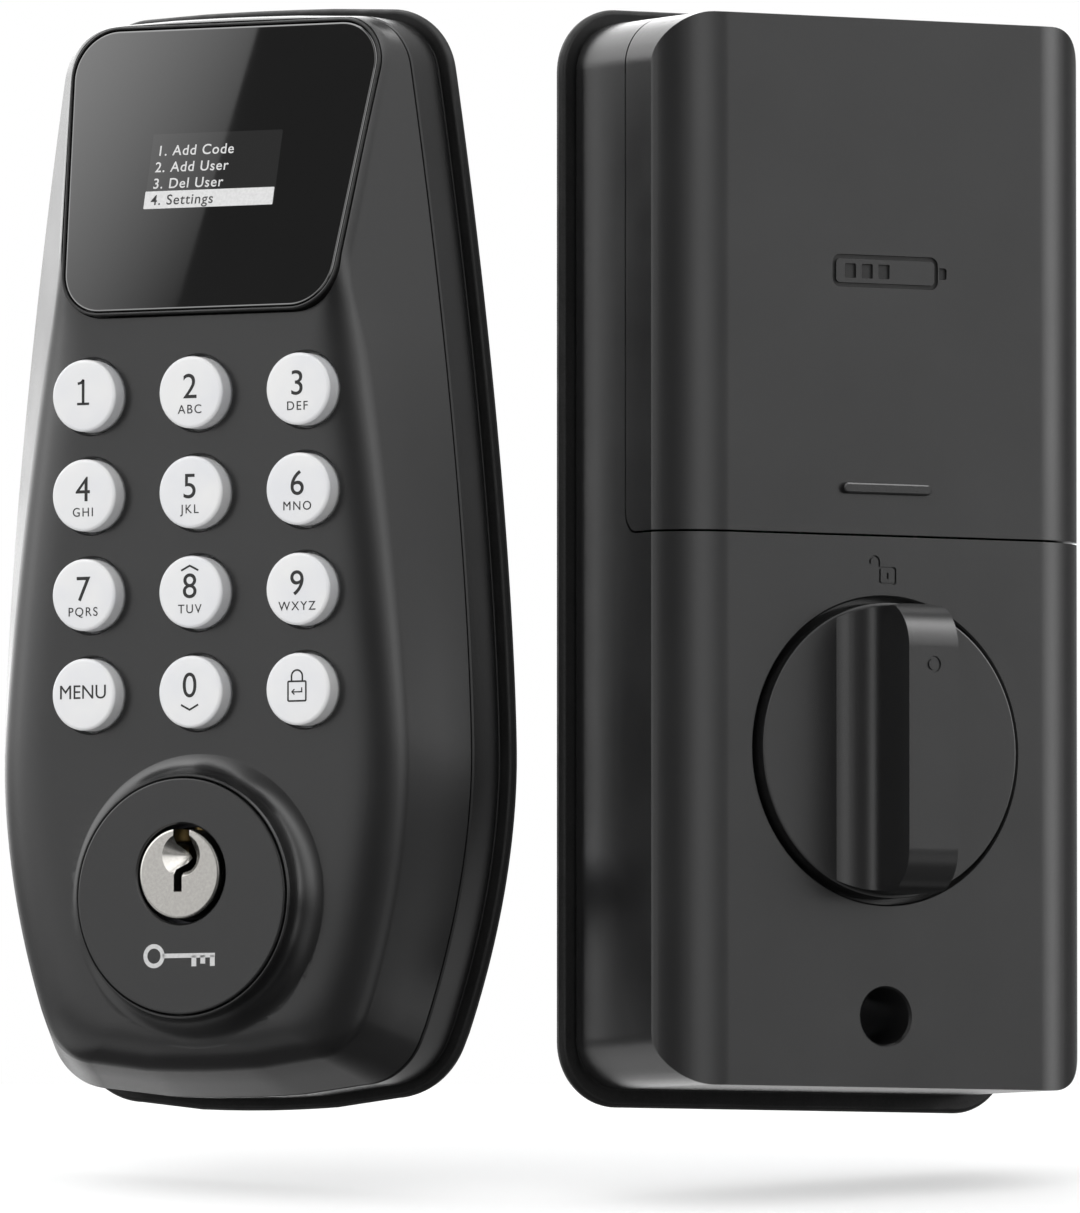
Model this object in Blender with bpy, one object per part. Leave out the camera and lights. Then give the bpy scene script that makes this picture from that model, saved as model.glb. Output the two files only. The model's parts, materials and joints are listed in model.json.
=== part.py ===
"""A keypad smart lock: the outside keypad unit and the inside thumbturn unit, set out side by side.

Each unit is modelled in its own frame in metres: +X to the right seen from the front, +Y into the
door, +Z up, with y = 0 on the door and z = 0 at the bottom of its gasket. Two empties then turn the
units away from each other, and centre the pair on the origin.
"""

import math

import bmesh
import bpy
from mathutils import Matrix, Vector

MM = 0.001
GAP = 0.3  # clearance between neighbouring pieces, in mm

# Both units, in mm
GASKET_THICK = 2.0
CASE_BACK_Y = -2.3  # back of each case, just off its gasket
PANEL_WALL = 2.0

# How the two units stand
OUTSIDE_YAW = math.radians(-28.2)
INSIDE_YAW = math.radians(30.3)
OUTSIDE_X = -37.0
INSIDE_X = 33.5

# Outside unit: a tall barrel outline, widest at the belly
OUT_TOP = 151.4
OUT_BOTTOM = 1.6
OUT_OVERHANG = 1.6
BELLY_Z = 48.0
BELLY_HALF = 37.0
UPPER_SIDE = (0.00813, 1.55)  # half-width lost is a * distance ** b above the belly
LOWER_SIDE = (0.00839, 1.873)
TOP_CORNER_R = 8.4
BOTTOM_CORNER_R = 10.0
BOTTOM_CROWN_R = 200.0
TOP_CROWN_R = 500.0
PART_Y = -10.5  # seam between the front shell and the rear case
FACE_Y = -21.5  # flat keypad face
BEND_Z = 108.0  # the face leans back above this
LEAN = 0.2276
FLANK_SLOPE_SIDE = 0.56  # how far the flank leans in for each mm forward
FLANK_SLOPE_END = 0.38
FOLD_R = 6.5
FOLD_SHARE = 0.7  # most of the flank's height that the fold may take
FOLD_STEPS = 4

# Display glass, in the leaning plane
GLASS_TOP_Z = 149.3
GLASS_BOTTOM_Z = 109.4
GLASS_TOP_HALF = 25.0
GLASS_BOTTOM_HALF = 21.2
GLASS_R = 6.2
BEZEL_WIDTH = 0.9
POCKET_DEPTH = 1.0
OLED_Z = 129.8
OLED_SIZE = (27.0, 17.0, 1.4)

# Keys
KEY_NAMES = (
    ("key_1", "key_2", "key_3"),
    ("key_4", "key_5", "key_6"),
    ("key_7", "key_8", "key_9"),
    ("key_menu", "key_0", "key_lock"),
)
KEY_TOP_ROW_Z = 98.6
KEY_PITCH_X = 16.9
KEY_PITCH_Z = 13.8
KEY_R = 5.0
KEY_PROUD = 2.4
KEY_FLANGE_R = 5.8
KEY_TRAVEL = 1.2

# Key cylinder
CYLINDER_Z = 28.4
PLUG_Z = 32.0
BOSS_TOP_R = 16.75
BOSS_FOOT_R = 20.8
BOSS_PROUD = 4.6
COLLAR_R = 16.2
COLLAR_THICK = 3.0
COLLAR_BORE_R = 7.15
PLUG_R = 6.3
PLUG_PROUD = 0.45
CYLINDER_R = 9.5
BIBLE_HALF = 4.8
BIBLE_TOP = 15.8
TAILPIECE_END_Y = 30.0
SCREW_POST_Y = -19.7
POST_SPREAD = 19.0

# Inside unit: an upright box with a crowned front
IN_HALF = 34.3
IN_BOTTOM = 2.0
IN_TOP = 150.0
IN_CORNER_R = 7.0
IN_OVERHANG = 2.0
IN_FACE_Y = -28.0
IN_EDGE_Y = -22.6  # crisp edge where the crown meets the side wall
IN_CROWN_WIDTH = 9.3
IN_WALL = 1.8
COVER_SPLIT_Z = 78.2
COVER_SKIRT_Y = -15.7
COVER_CORNER_R = 3.0
SEAM = 0.25
GRIP_Z = 84.9
GRIP_SIZE = (13.8, 1.8, 0.8)

# Thumbturn
TURN_Z = 48.9
TURN_WELL_R = 21.2
TURN_R = 20.4
TURN_PROUD = 1.2
BAR_WIDTH = 7.9
BAR_PROUD = 11.6
BAR_END_R = 5.0
BAR_FOOT_R = 5.5
SCREW_HOLE_Z = 12.3
SCREW_HOLE_R = 4.25

# Gear train behind the thumbturn
MODULE_MM = 1.0
DRIVE_TEETH = 28
IDLER_TEETH = 14
PINION_TEETH = 10
MESH_PLAY = 0.2
GEAR_Y = -12.0
GEAR_THICK = 3.0
IDLER_ANGLE = math.radians(-130.0)
PINION_ANGLE = math.radians(-126.0)
MOTOR_R = 8.0

# AA cells
CELL_R = 7.1
CELL_LENGTH = 49.0
CELL_PITCH = 15.2
CELL_Y = -17.6
CELL_BOTTOM_Z = 87.5


# ---------------------------------------------------------------- helpers


def clear_scene():
    for thing in list(bpy.data.objects):
        bpy.data.objects.remove(thing)


def material(name, colour, roughness, metallic=0.0):
    made = bpy.data.materials.get(name) or bpy.data.materials.new(name)
    made.use_nodes = True
    shader = made.node_tree.nodes["Principled BSDF"]
    shader.inputs["Base Color"].default_value = (*colour, 1.0)
    shader.inputs["Roughness"].default_value = roughness
    shader.inputs["Metallic"].default_value = metallic
    return made


def shell_plastic():
    return material("charcoal_shell", (0.045, 0.045, 0.048), 0.42)


def white_plastic():
    return material("white_key", (0.80, 0.81, 0.83), 0.38)


def black_glass():
    return material("black_glass", (0.006, 0.006, 0.007), 0.06)


def black_rubber():
    return material("gasket_rubber", (0.012, 0.012, 0.013), 0.75)


def nickel():
    return material("nickel", (0.72, 0.70, 0.67), 0.22, 1.0)


def brass():
    return material("brass", (0.72, 0.55, 0.26), 0.32, 1.0)


def zinc_steel():
    return material("zinc_steel", (0.60, 0.61, 0.63), 0.35, 1.0)


def circuit_board():
    return material("circuit_board", (0.01, 0.14, 0.06), 0.5)


def gear_plastic():
    return material("gear_plastic", (0.78, 0.76, 0.70), 0.45)


def battery_wrap():
    return material("battery_wrap", (0.05, 0.09, 0.16), 0.35)


def moulded_black():
    return material("moulded_black", (0.02, 0.02, 0.022), 0.55)


def put(name, mesh, finish, unit, pivot=(0.0, 0.0, 0.0), smooth=30.0):
    """Makes an object of a mesh drawn in unit millimetres, with its origin at the pivot."""
    mesh.transform(Matrix.Translation(-Vector(pivot)))
    mesh.transform(Matrix.Scale(MM, 4))
    thing = bpy.data.objects.new(name, mesh)
    mesh.materials.append(finish)
    mesh.shade_smooth()
    mesh.set_sharp_from_angle(angle=math.radians(smooth))
    thing.parent = unit
    thing.location = Vector(pivot) * MM
    bpy.context.scene.collection.objects.link(thing)
    return thing


def mesh_of(name, points, faces):
    """A mesh with its faces turned outwards."""
    made = bpy.data.meshes.new(name)
    work = bmesh.new()
    corners = [work.verts.new(p) for p in points]
    for face in faces:
        work.faces.new([corners[i] for i in face])
    bmesh.ops.recalc_face_normals(work, faces=work.faces)
    work.to_mesh(made)
    work.free()
    return made


def loft(name, rings, capped=True):
    """A skin over rings of equal length. Without caps the last ring joins the first, as in a frame."""
    count = len(rings[0])
    points = [p for ring in rings for p in ring]
    faces = []
    joins = len(rings) - 1 if capped else len(rings)
    for r in range(joins):
        here = r * count
        there = (r + 1) % len(rings) * count
        for i in range(count):
            j = (i + 1) % count
            faces.append((here + i, here + j, there + j, there + i))
    if capped:
        faces.append(tuple(range(count)))
        faces.append(tuple(range((len(rings) - 1) * count, len(rings) * count)))
    return mesh_of(name, points, faces)


def turned(name, profile, centre, segments=32, ring=False):
    """A solid turned about the line through centre along Y. The profile is (radius, y) pairs."""
    rings = []
    for radius, y in profile:
        turn = [2 * math.pi * i / segments for i in range(segments)]
        rings.append(
            [(centre[0] + radius * math.cos(a), y, centre[1] + radius * math.sin(a)) for a in turn]
        )
    return loft(name, rings, capped=not ring)


def prism(name, outline, y_low, y_high):
    """An outline of (x, z) points pushed along Y."""
    return loft(name, [[(x, y, z) for x, z in outline] for y in (y_low, y_high)])


def block(name, low, high):
    outline = [(low[0], low[2]), (high[0], low[2]), (high[0], high[2]), (low[0], high[2])]
    return prism(name, outline, low[1], high[1])


def arc(centre, radius, start, end, steps):
    """Points on a circle, angles in degrees from +X towards +Z."""
    found = []
    for i in range(steps + 1):
        a = math.radians(start + (end - start) * i / steps)
        found.append((centre[0] + radius * math.cos(a), centre[1] + radius * math.sin(a)))
    return found


def rounded_box(half_x, z_low, z_high, radius, steps=6):
    x, low, high = half_x - radius, z_low + radius, z_high - radius
    return (
        arc((x, low), radius, -90, 0, steps)
        + arc((x, high), radius, 0, 90, steps)
        + arc((-x, high), radius, 90, 180, steps)
        + arc((-x, low), radius, 180, 270, steps)
    )


def fillet(corner, before, after, radius, steps):
    """An arc that rounds a corner between the directions to the points before and after it."""
    corner, before, after = Vector(corner), Vector(before), Vector(after)
    a = (before - corner).normalized()
    b = (after - corner).normalized()
    half = a.angle(b) / 2
    centre = corner + (a + b).normalized() * radius / math.sin(half)
    start = corner + a * radius / math.tan(half) - centre
    turn = start.angle_signed(corner + b * radius / math.tan(half) - centre)
    found = []
    for i in range(steps + 1):
        spin = Matrix.Rotation(-turn * i / steps, 2)
        found.append(tuple(centre + spin @ start))
    return found


def outward_normals(outline):
    """Unit normals of a closed outline that runs anticlockwise."""
    found = []
    count = len(outline)
    for i in range(count):
        along = Vector(outline[(i + 1) % count]) - Vector(outline[i - 1])
        found.append(Vector((along.y, -along.x)).normalized())
    return found


def grown(outline, by):
    normals = outward_normals(outline)
    return [(x + n.x * by, z + n.y * by) for (x, z), n in zip(outline, normals)]


def boolean(target, other, operation):
    """Cuts or joins with a helper object, which then isn't a piece of its own."""
    step = target.modifiers.new(operation.lower(), "BOOLEAN")
    step.operation = operation
    step.solver = "EXACT"
    step.object = other
    other.hide_render = True
    other.display_type = "WIRE"


def cut(target, mesh, unit):
    boolean(target, put("cutter_" + target.name, mesh, moulded_black(), unit), "DIFFERENCE")


def join(target, mesh, unit):
    boolean(target, put("adds_to_" + target.name, mesh, moulded_black(), unit), "UNION")


# ---------------------------------------------------------------- outside unit outline


def side_half_width(z):
    reach = z - BELLY_Z
    factor, power = UPPER_SIDE if reach > 0 else LOWER_SIDE
    return BELLY_HALF - factor * abs(reach) ** power


def bottom_edge_z(x):
    return OUT_BOTTOM + x * x / (2 * BOTTOM_CROWN_R)


def top_edge_z(x):
    return OUT_TOP - x * x / (2 * TOP_CROWN_R)


def outside_outline():
    """The case's outline at the seam, anticlockwise from the bottom centre, mirrored left to right."""
    foot_x = side_half_width(OUT_BOTTOM + 2.0) - 0.6
    low_corner = (foot_x + 0.4, bottom_edge_z(foot_x))
    low = fillet(low_corner, (0, bottom_edge_z(0) + 0.6), (side_half_width(12), 12), BOTTOM_CORNER_R, 7)
    head_x = side_half_width(OUT_TOP)
    high_corner = (head_x, top_edge_z(head_x))
    high = fillet(high_corner, (side_half_width(143.0), 143.0), (0, OUT_TOP), TOP_CORNER_R, 6)
    side_from, side_to = low[-1][1] + 2.5, high[0][1] - 3.0
    steps = 12
    side = []
    for i in range(steps + 1):
        z = side_from + (side_to - side_from) * i / steps
        side.append((side_half_width(z), z))
    floor = [(x, bottom_edge_z(x)) for x in (6.0, 12.0)]
    right = floor + low + side + high + [(8.0, top_edge_z(8.0))]
    left = [(-x, z) for x, z in reversed(right)]
    return [(0.0, OUT_BOTTOM)] + right + [(0.0, OUT_TOP)] + left


def face_y(z):
    """The front face: upright at the keypad, leaning back at the display."""
    return FACE_Y + LEAN * max(0.0, z - BEND_Z)


def flank_profile(height, slope):
    """(inset, rise) pairs from the seam up a straight flank and round the fold into the face."""
    lean = math.atan(slope)
    reach = FOLD_R * math.tan((math.pi / 2 - lean) / 2)
    reach = min(reach, FOLD_SHARE * height / math.cos(lean))
    radius = reach / math.tan((math.pi / 2 - lean) / 2)
    foot = height - reach * math.cos(lean)
    found = [(0.0, 0.0)]
    for i in range(FOLD_STEPS + 1):
        turn = (math.pi / 2 - lean) * i / FOLD_STEPS
        inset = slope * foot + radius * (math.cos(lean) - math.cos(lean + turn))
        rise = foot + radius * (math.sin(lean + turn) - math.sin(lean))
        found.append((inset, rise))
    return found


def shell_rings(outline, wall):
    """Rings of the front shell's skin, from the seam to the flat face. A wall above 0 gives its inside."""
    normals = outward_normals(outline)
    low, high = min(z for _, z in outline), max(z for _, z in outline)
    at_bottom = flank_profile(PART_Y - face_y(low) - wall, FLANK_SLOPE_END)
    at_top = flank_profile(PART_Y - face_y(high) - wall, FLANK_SLOPE_END)
    rings = []
    for step in range(FOLD_STEPS + 2):
        ring = []
        for (x, z), n in zip(outline, normals):
            up = (z - low) / (high - low)
            ring_z = z + at_bottom[step][0] * (1 - up) - at_top[step][0] * up
            face_z = z + at_bottom[-1][0] * (1 - up) - at_top[-1][0] * up
            height = PART_Y - face_y(face_z) - wall
            side = flank_profile(height, FLANK_SLOPE_SIDE)[step]
            end = flank_profile(height, FLANK_SLOPE_END)[step]
            rise = side[1] * n.x**2 + end[1] * n.y**2
            keep = 1 - side[0] / side_half_width(z)
            ring.append((x * keep, PART_Y - rise, ring_z))
        rings.append(ring)
    return rings


def strip_caps(ring_start, count):
    """Faces across a ring that is its own mirror image: the first point is the bottom centre."""
    faces = [(ring_start, ring_start + 1, ring_start + count - 1)]
    middle = count // 2
    for i in range(1, middle - 1):
        a, b = ring_start + i, ring_start + i + 1
        faces.append((a, b, ring_start + count - i - 1, ring_start + count - i))
    faces.append((ring_start + middle - 1, ring_start + middle, ring_start + middle + 1))
    return faces


def front_shell(unit):
    """Face and flanks, with a boss for the cylinder, key holes and the display opening."""
    outline = outside_outline()
    count = len(outline)
    outer = shell_rings(outline, 0.0)
    shorter = (OUT_TOP - 8.0) / OUT_TOP
    inner_outline = [(x, z * shorter) for x, z in grown(outline, -PANEL_WALL)]
    inner = shell_rings(inner_outline, PANEL_WALL)
    rings = list(reversed(inner)) + outer
    points = [p for ring in rings for p in ring]
    faces = []
    for r in range(len(rings) - 1):
        for i in range(count):
            j = (i + 1) % count
            faces.append((r * count + i, r * count + j, (r + 1) * count + j, (r + 1) * count + i))
    faces += strip_caps(0, count)
    faces += strip_caps((len(rings) - 1) * count, count)
    shell = put("front_shell", mesh_of("front_shell", points, faces), shell_plastic(), unit)

    boss = turned(
        "boss",
        [
            (BOSS_FOOT_R, FACE_Y + 1.2),
            (BOSS_FOOT_R, FACE_Y + 0.02),
            (BOSS_FOOT_R - 1.6, FACE_Y - 0.35),
            (BOSS_FOOT_R - 2.6, FACE_Y - 1.2),
            (BOSS_TOP_R + 0.25, FACE_Y - BOSS_PROUD + 0.2),
            (BOSS_TOP_R, FACE_Y - BOSS_PROUD),
        ],
        (0.0, CYLINDER_Z),
        40,
    )
    join(shell, boss, unit)
    well_floor = FACE_Y - 1.2
    well = [(COLLAR_R + GAP, FACE_Y - BOSS_PROUD - 1), (COLLAR_R + GAP, well_floor)]
    cut(shell, turned("well", well, (0.0, CYLINDER_Z), 40), unit)
    bore = [(CYLINDER_R + GAP, well_floor - 0.5), (CYLINDER_R + GAP, PART_Y + 1)]
    cut(shell, turned("cylinder_bore", bore, (0.0, PLUG_Z), 32), unit)
    cut(shell, bible_block("bible_slot", GAP, FACE_Y + 0.6, PART_Y + 1), unit)
    for x, z, _ in key_places():
        hole = [(KEY_R + GAP, FACE_Y - 1), (KEY_R + GAP, FACE_Y + PANEL_WALL + 1)]
        cut(shell, turned("key_hole", hole, (x, z), 16), unit)
    pocket = slanted_prism("display_pocket", glass_outline(BEZEL_WIDTH + GAP), -3.0, POCKET_DEPTH)
    cut(shell, pocket, unit)
    cut(shell, slanted_prism("display_window", module_outline(GAP), 0.5, 6.0), unit)
    for x, z in case_screw_places():
        post = [(2.5, SCREW_POST_Y), (2.5, PART_Y - 0.2)]
        join(shell, turned("post", post, (x, z), 12), unit)
        pilot = [(1.4, SCREW_POST_Y + 2.5), (1.4, PART_Y + 1)]
        cut(shell, turned("pilot", pilot, (x, z), 12), unit)
    return shell


def bible_block(name, grow, front, back):
    """Block above the plug that holds the pins."""
    low, high = PLUG_Z + CYLINDER_R - 1.3, PLUG_Z + BIBLE_TOP
    return block(name, (-BIBLE_HALF - grow, front, low), (BIBLE_HALF + grow, back, high + grow))


def key_places():
    """(x, z, name) of each key."""
    found = []
    for row, names in enumerate(KEY_NAMES):
        for column, name in enumerate(names):
            found.append(((column - 1) * KEY_PITCH_X, KEY_TOP_ROW_Z - row * KEY_PITCH_Z, name))
    return found


def case_screw_places():
    return [(-25.6, 91.8), (25.6, 91.8), (-23.0, 44.0), (23.0, 44.0)]


def glass_outline(grow=0.0, steps=6):
    """Rounded trapezoid of the display glass, wider at the top."""
    top, bottom = GLASS_TOP_Z + grow, GLASS_BOTTOM_Z - grow
    wide, narrow = GLASS_TOP_HALF + grow, GLASS_BOTTOM_HALF + grow
    corners = [(-narrow, bottom), (narrow, bottom), (wide, top), (-wide, top)]
    found = []
    for i, corner in enumerate(corners):
        found += fillet(corner, corners[i - 1], corners[(i + 1) % 4], GLASS_R + grow, steps)
    return found


def module_outline(grow=0.0):
    wide, tall, _ = OLED_SIZE
    x, low, high = wide / 2 + grow, OLED_Z - tall / 2 - grow, OLED_Z + tall / 2 + grow
    return [(-x, low), (x, low), (x, high), (-x, high)]


def slanted_prism(name, outline, front, back):
    """An outline pushed along Y from the leaning display plane, front and back in mm from that plane."""
    rings = []
    for depth in (front, back):
        rings.append([(x, FACE_Y + LEAN * (z - BEND_Z) + depth, z) for x, z in outline])
    return loft(name, rings)


def slanted_frame(name, outer, inner, front, back):
    rings = []
    for outline, depth in ((inner, front), (outer, front), (outer, back), (inner, back)):
        rings.append([(x, FACE_Y + LEAN * (z - BEND_Z) + depth, z) for x, z in outline])
    return loft(name, rings, capped=False)


def rear_case(unit):
    """Tub behind the seam, with an opening for the cylinder and a slot for the cable."""
    outline = outside_outline()
    inside = grown(outline, -PANEL_WALL)
    seam_y = PART_Y + SEAM
    floor_y = CASE_BACK_Y - 1.8
    rings = [[(x, y, z) for x, z in ring] for ring, y in ((outline, CASE_BACK_Y), (outline, seam_y), (inside, seam_y), (inside, floor_y))]
    case = put("rear_case", loft("rear_case", rings), shell_plastic(), unit)
    cut(case, turned("cylinder_pass", [(12.0, floor_y - 1), (12.0, CASE_BACK_Y + 1)], (0.0, PLUG_Z), 32), unit)
    cut(case, bible_block("bible_pass", GAP, floor_y - 1, CASE_BACK_Y + 1), unit)
    cut(case, prism("cable_slot", rounded_box(5.0, 54.5, 60.5, 2.5), floor_y - 1, CASE_BACK_Y + 1), unit)
    usb = [(x, z) for x, z in arc((2.9, -6.4), 2.0, -90, 90, 6) + arc((-2.9, -6.4), 2.0, 90, 270, 6)]
    port_rings = [[(x, y, z) for x, y in usb] for z in (-2.0, 6.0)]
    cut(case, loft("usb_pass", port_rings), unit)
    for x, z in case_screw_places():
        cut(case, turned("screw_pass", [(1.5, floor_y - 1), (1.5, CASE_BACK_Y + 1)], (x, z), 12), unit)
        cut(case, turned("screw_sink", [(2.7, CASE_BACK_Y - 0.9), (2.7, CASE_BACK_Y + 1)], (x, z), 12), unit)
    for side in (-1, 1):
        cut(case, turned("post_pass", [(4.0 + GAP, floor_y - 1), (4.0 + GAP, CASE_BACK_Y + 1)], (side * POST_SPREAD, PLUG_Z), 16), unit)
    return case


def outside_fittings(unit):
    outline = outside_outline()
    ring = lambda grow, y: [(x, y, z) for x, z in grown(outline, grow)]
    rings = [ring(OUT_OVERHANG, -GASKET_THICK), ring(OUT_OVERHANG, 0.0), ring(-4.5, 0.0), ring(-4.5, -GASKET_THICK)]
    put("outside_gasket", loft("outside_gasket", rings, capped=False), black_rubber(), unit)

    outer, inner = glass_outline(BEZEL_WIDTH), glass_outline(GAP)
    back = POCKET_DEPTH - 0.25
    frame = slanted_frame("display_bezel", outer, inner, 0.1, back)
    put("display_bezel", frame, moulded_black(), unit)
    put("display_glass", slanted_prism("display_glass", glass_outline(), 0.15, back), black_glass(), unit)
    module = slanted_prism("display_module", module_outline(), back + GAP, back + GAP + OLED_SIZE[2])
    put("display_module", module, circuit_board(), unit)

    board_low, board_high = 49.0, 107.0
    sheet = prism("keypad_mat", rounded_box(22.6, 50.0, 105.0, 2.0, 3), -14.4, -13.5)
    mat = put("keypad_mat", sheet, material("silicone", (0.35, 0.36, 0.38), 0.6), unit)
    for x, z, _ in key_places():
        dome = [(3.4, -14.1), (2.4, -15.9)]
        join(mat, turned("dome", dome, (x, z), 12), unit)
    board = put("main_board", prism("main_board", rounded_box(26.0, board_low, board_high, 1.5, 3), -13.2, -12.0), circuit_board(), unit)
    for x, z in case_screw_places()[:2]:
        cut(board, turned("board_notch", [(3.1, -14.0), (3.1, -11.0)], (x, z), 12), unit)
    put("cable_socket", block("cable_socket", (-5.0, -11.7, 55.0), (5.0, -6.6, 60.0)), white_plastic(), unit)

    shell = [(x, y) for x, y in arc((2.9, -6.4), 1.65, -90, 90, 6) + arc((-2.9, -6.4), 1.65, 90, 270, 6)]
    mouth = [(x, y) for x, y in arc((2.9, -6.4), 1.25, -90, 90, 6) + arc((-2.9, -6.4), 1.25, 90, 270, 6)]
    port = [[(x, y, z) for x, y in outline_at] for outline_at, z in ((shell, 8.6), (shell, 2.1), (mouth, 2.1), (mouth, 7.6))]
    put("usb_port", loft("usb_port", port), zinc_steel(), unit)

    for number, (x, z) in enumerate(case_screw_places(), 1):
        tip_y = PART_Y - 5.0
        screw = [(0.6, tip_y), (1.1, tip_y + 0.5), (1.1, -3.1), (2.3, -3.1), (2.3, CASE_BACK_Y - 0.1)]
        put(f"case_screw_{number}", turned("case_screw", screw, (x, z), 12), zinc_steel(), unit)

    for side, name in ((-1, "left"), (1, "right")):
        profile = [
            (2.2, 8.0),
            (2.2, -5.0),
            (4.0, -5.0),
            (4.0, 8.0),
        ]
        post = turned("bolt_post", profile, (side * POST_SPREAD, PLUG_Z), 16, ring=True)
        post_object = put(f"bolt_post_{name}", post, brass(), unit)
        flange = [(3.2, -6.6), (6.0, -6.6), (6.0, -4.4), (3.2, -4.4)]
        join(post_object, turned("post_flange", flange, (side * POST_SPREAD, PLUG_Z), 16, ring=True), unit)


def keys(unit):
    """Round caps that slide through the face, each with a retaining flange and a foot over its dome."""
    front = FACE_Y - KEY_PROUD
    inner_y = FACE_Y + PANEL_WALL
    for x, z, name in key_places():
        profile = [
            (KEY_R - 0.9, front),
            (KEY_R, front + 0.7),
            (KEY_R, inner_y + GAP),
            (KEY_FLANGE_R, inner_y + GAP),
            (KEY_FLANGE_R, inner_y + GAP + 1.0),
            (1.8, inner_y + GAP + 1.0),
            (1.8, -15.9 - KEY_TRAVEL - GAP),
        ]
        cap = turned(name, profile, (x, z), 16)
        put(name, cap, white_plastic(), unit, pivot=(x, front, z))


def keyway_outline():
    """The crooked slot for a key, from below the plug's centre up through its edge."""
    base = PLUG_Z
    right = [(0.1, -3.6), (0.1, -1.2), (1.5, 1.6), (0.9, 3.8), (0.9, 7.5)]
    left = [(-0.9, 7.5), (-0.9, 3.3), (0.2, 1.6), (-1.0, -0.9), (-1.0, -3.6)]
    return [(x, base + z) for x, z in right + left]


def key_cylinder(unit):
    top_y = FACE_Y - BOSS_PROUD
    collar_back = top_y + COLLAR_THICK
    face = [(COLLAR_R - 0.3, top_y), (COLLAR_R, top_y + 0.3), (COLLAR_R, collar_back)]
    collar = put("cylinder_collar", turned("collar", face, (0.0, CYLINDER_Z), 48), shell_plastic(), unit)
    hole = [(COLLAR_BORE_R, top_y - 1), (COLLAR_BORE_R, collar_back + 1)]
    cut(collar, turned("collar_bore", hole, (0.0, PLUG_Z), 32), unit)

    body_front = collar_back + GAP
    inner_r = PLUG_R + GAP
    tube = [(inner_r, body_front), (CYLINDER_R, body_front), (CYLINDER_R, -0.6), (inner_r, -0.6)]
    body = turned("cylinder_body", tube, (0.0, PLUG_Z), 32, ring=True)
    housing = put("cylinder_body", body, brass(), unit)
    join(housing, bible_block("bible", 0.0, FACE_Y + 1.0, -0.6), unit)

    pivot = (0.0, top_y, PLUG_Z)
    front = top_y - PLUG_PROUD
    plug_profile = [
        (PLUG_R - 0.35, front),
        (PLUG_R, front + 0.35),
        (PLUG_R, -0.2),
        (3.2, -0.2),
        (3.2, 2.0),
    ]
    plug_mesh = turned("key_plug", plug_profile, (0.0, PLUG_Z), 32)
    plug = put("key_plug", plug_mesh, nickel(), unit, pivot=pivot)
    cut(plug, prism("keyway", keyway_outline(), front - 1, -4.0), unit)
    dimple = turned("dimple", [(3.6, front - 0.6), (0.05, front + 2.6)], (0.0, PLUG_Z + 2.5), 20)
    cut(plug, dimple, unit)

    cap_profile = [(3.5, 0.2), (7.2, 0.2), (7.2, 2.2), (3.5, 2.2)]
    cap = turned("plug_cap", cap_profile, (0.0, PLUG_Z), 24, ring=True)
    put("plug_cap", cap, zinc_steel(), unit, pivot=pivot)

    blade = block("tailpiece", (-3.1, 2.3, PLUG_Z - 0.8), (3.1, TAILPIECE_END_Y, PLUG_Z + 0.8))
    put("tailpiece", blade, zinc_steel(), unit, pivot=pivot)


# ---------------------------------------------------------------- inside unit


def inside_outline(grow=0.0):
    return rounded_box(IN_HALF + grow, IN_BOTTOM - grow, IN_TOP + grow, IN_CORNER_R + grow)


def crown_radius():
    drop = IN_EDGE_Y - IN_FACE_Y
    return (IN_CROWN_WIDTH**2 + drop**2) / (2 * drop)


def crowned_y(x, radius):
    """Front of the inside case: flat in the middle, falling away along an arc towards each side."""
    over = max(0.0, abs(x) - (IN_HALF - IN_CROWN_WIDTH))
    return IN_FACE_Y + radius - math.sqrt(radius**2 - over**2)


def crowned_solid(name, inset, back_y):
    """An over-size bar with the case's crowned front, set in from it by an inset all round."""
    radius = crown_radius()
    reach = IN_HALF - inset + 1.0
    steps = 8
    low_x = IN_HALF - IN_CROWN_WIDTH
    xs = [reach - (reach - low_x) * i / steps for i in range(steps + 1)]
    front = []
    for x in xs:
        front.append((x, crowned_y(x, radius - inset) + inset))
    section = [(reach, back_y)] + front + [(-x, y) for x, y in reversed(front)] + [(-reach, back_y)]
    rings = [[(x, y, z) for x, y in section] for z in (IN_BOTTOM - 5, IN_TOP + 5)]
    return loft(name, rings)


def inside_case(name, unit):
    """The whole inside case as one shell, before the battery cover is parted from it."""
    case = put(name, crowned_solid(name, 0.0, CASE_BACK_Y), shell_plastic(), unit)
    corners = prism("corners", inside_outline(), -60.0, 20.0)
    boolean(case, put("corners_of_" + name, corners, moulded_black(), unit), "INTERSECT")
    room = put("room_of_" + name, crowned_solid("room", IN_WALL, 10.0), moulded_black(), unit)
    corners = prism("room_corners", inside_outline(-IN_WALL), -60.0, 20.0)
    boolean(room, put("room_corners_of_" + name, corners, moulded_black(), unit), "INTERSECT")
    boolean(case, room, "DIFFERENCE")
    return case


def cover_region(name, shrink):
    """Block that holds the battery cover: above the split and in front of the skirt line."""
    low, back = COVER_SPLIT_Z + shrink, COVER_SKIRT_Y - shrink
    radius = COVER_CORNER_R - shrink
    corner = [(y, z) for y, z in arc((back - radius, low + radius), radius, 0, -90, 6)]
    section = [(-60.0, 170.0), (back, 170.0)] + corner + [(-60.0, low)]
    rings = [[(x, y, z) for y, z in section] for x in (-60.0, 60.0)]
    return loft(name, rings)


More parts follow.
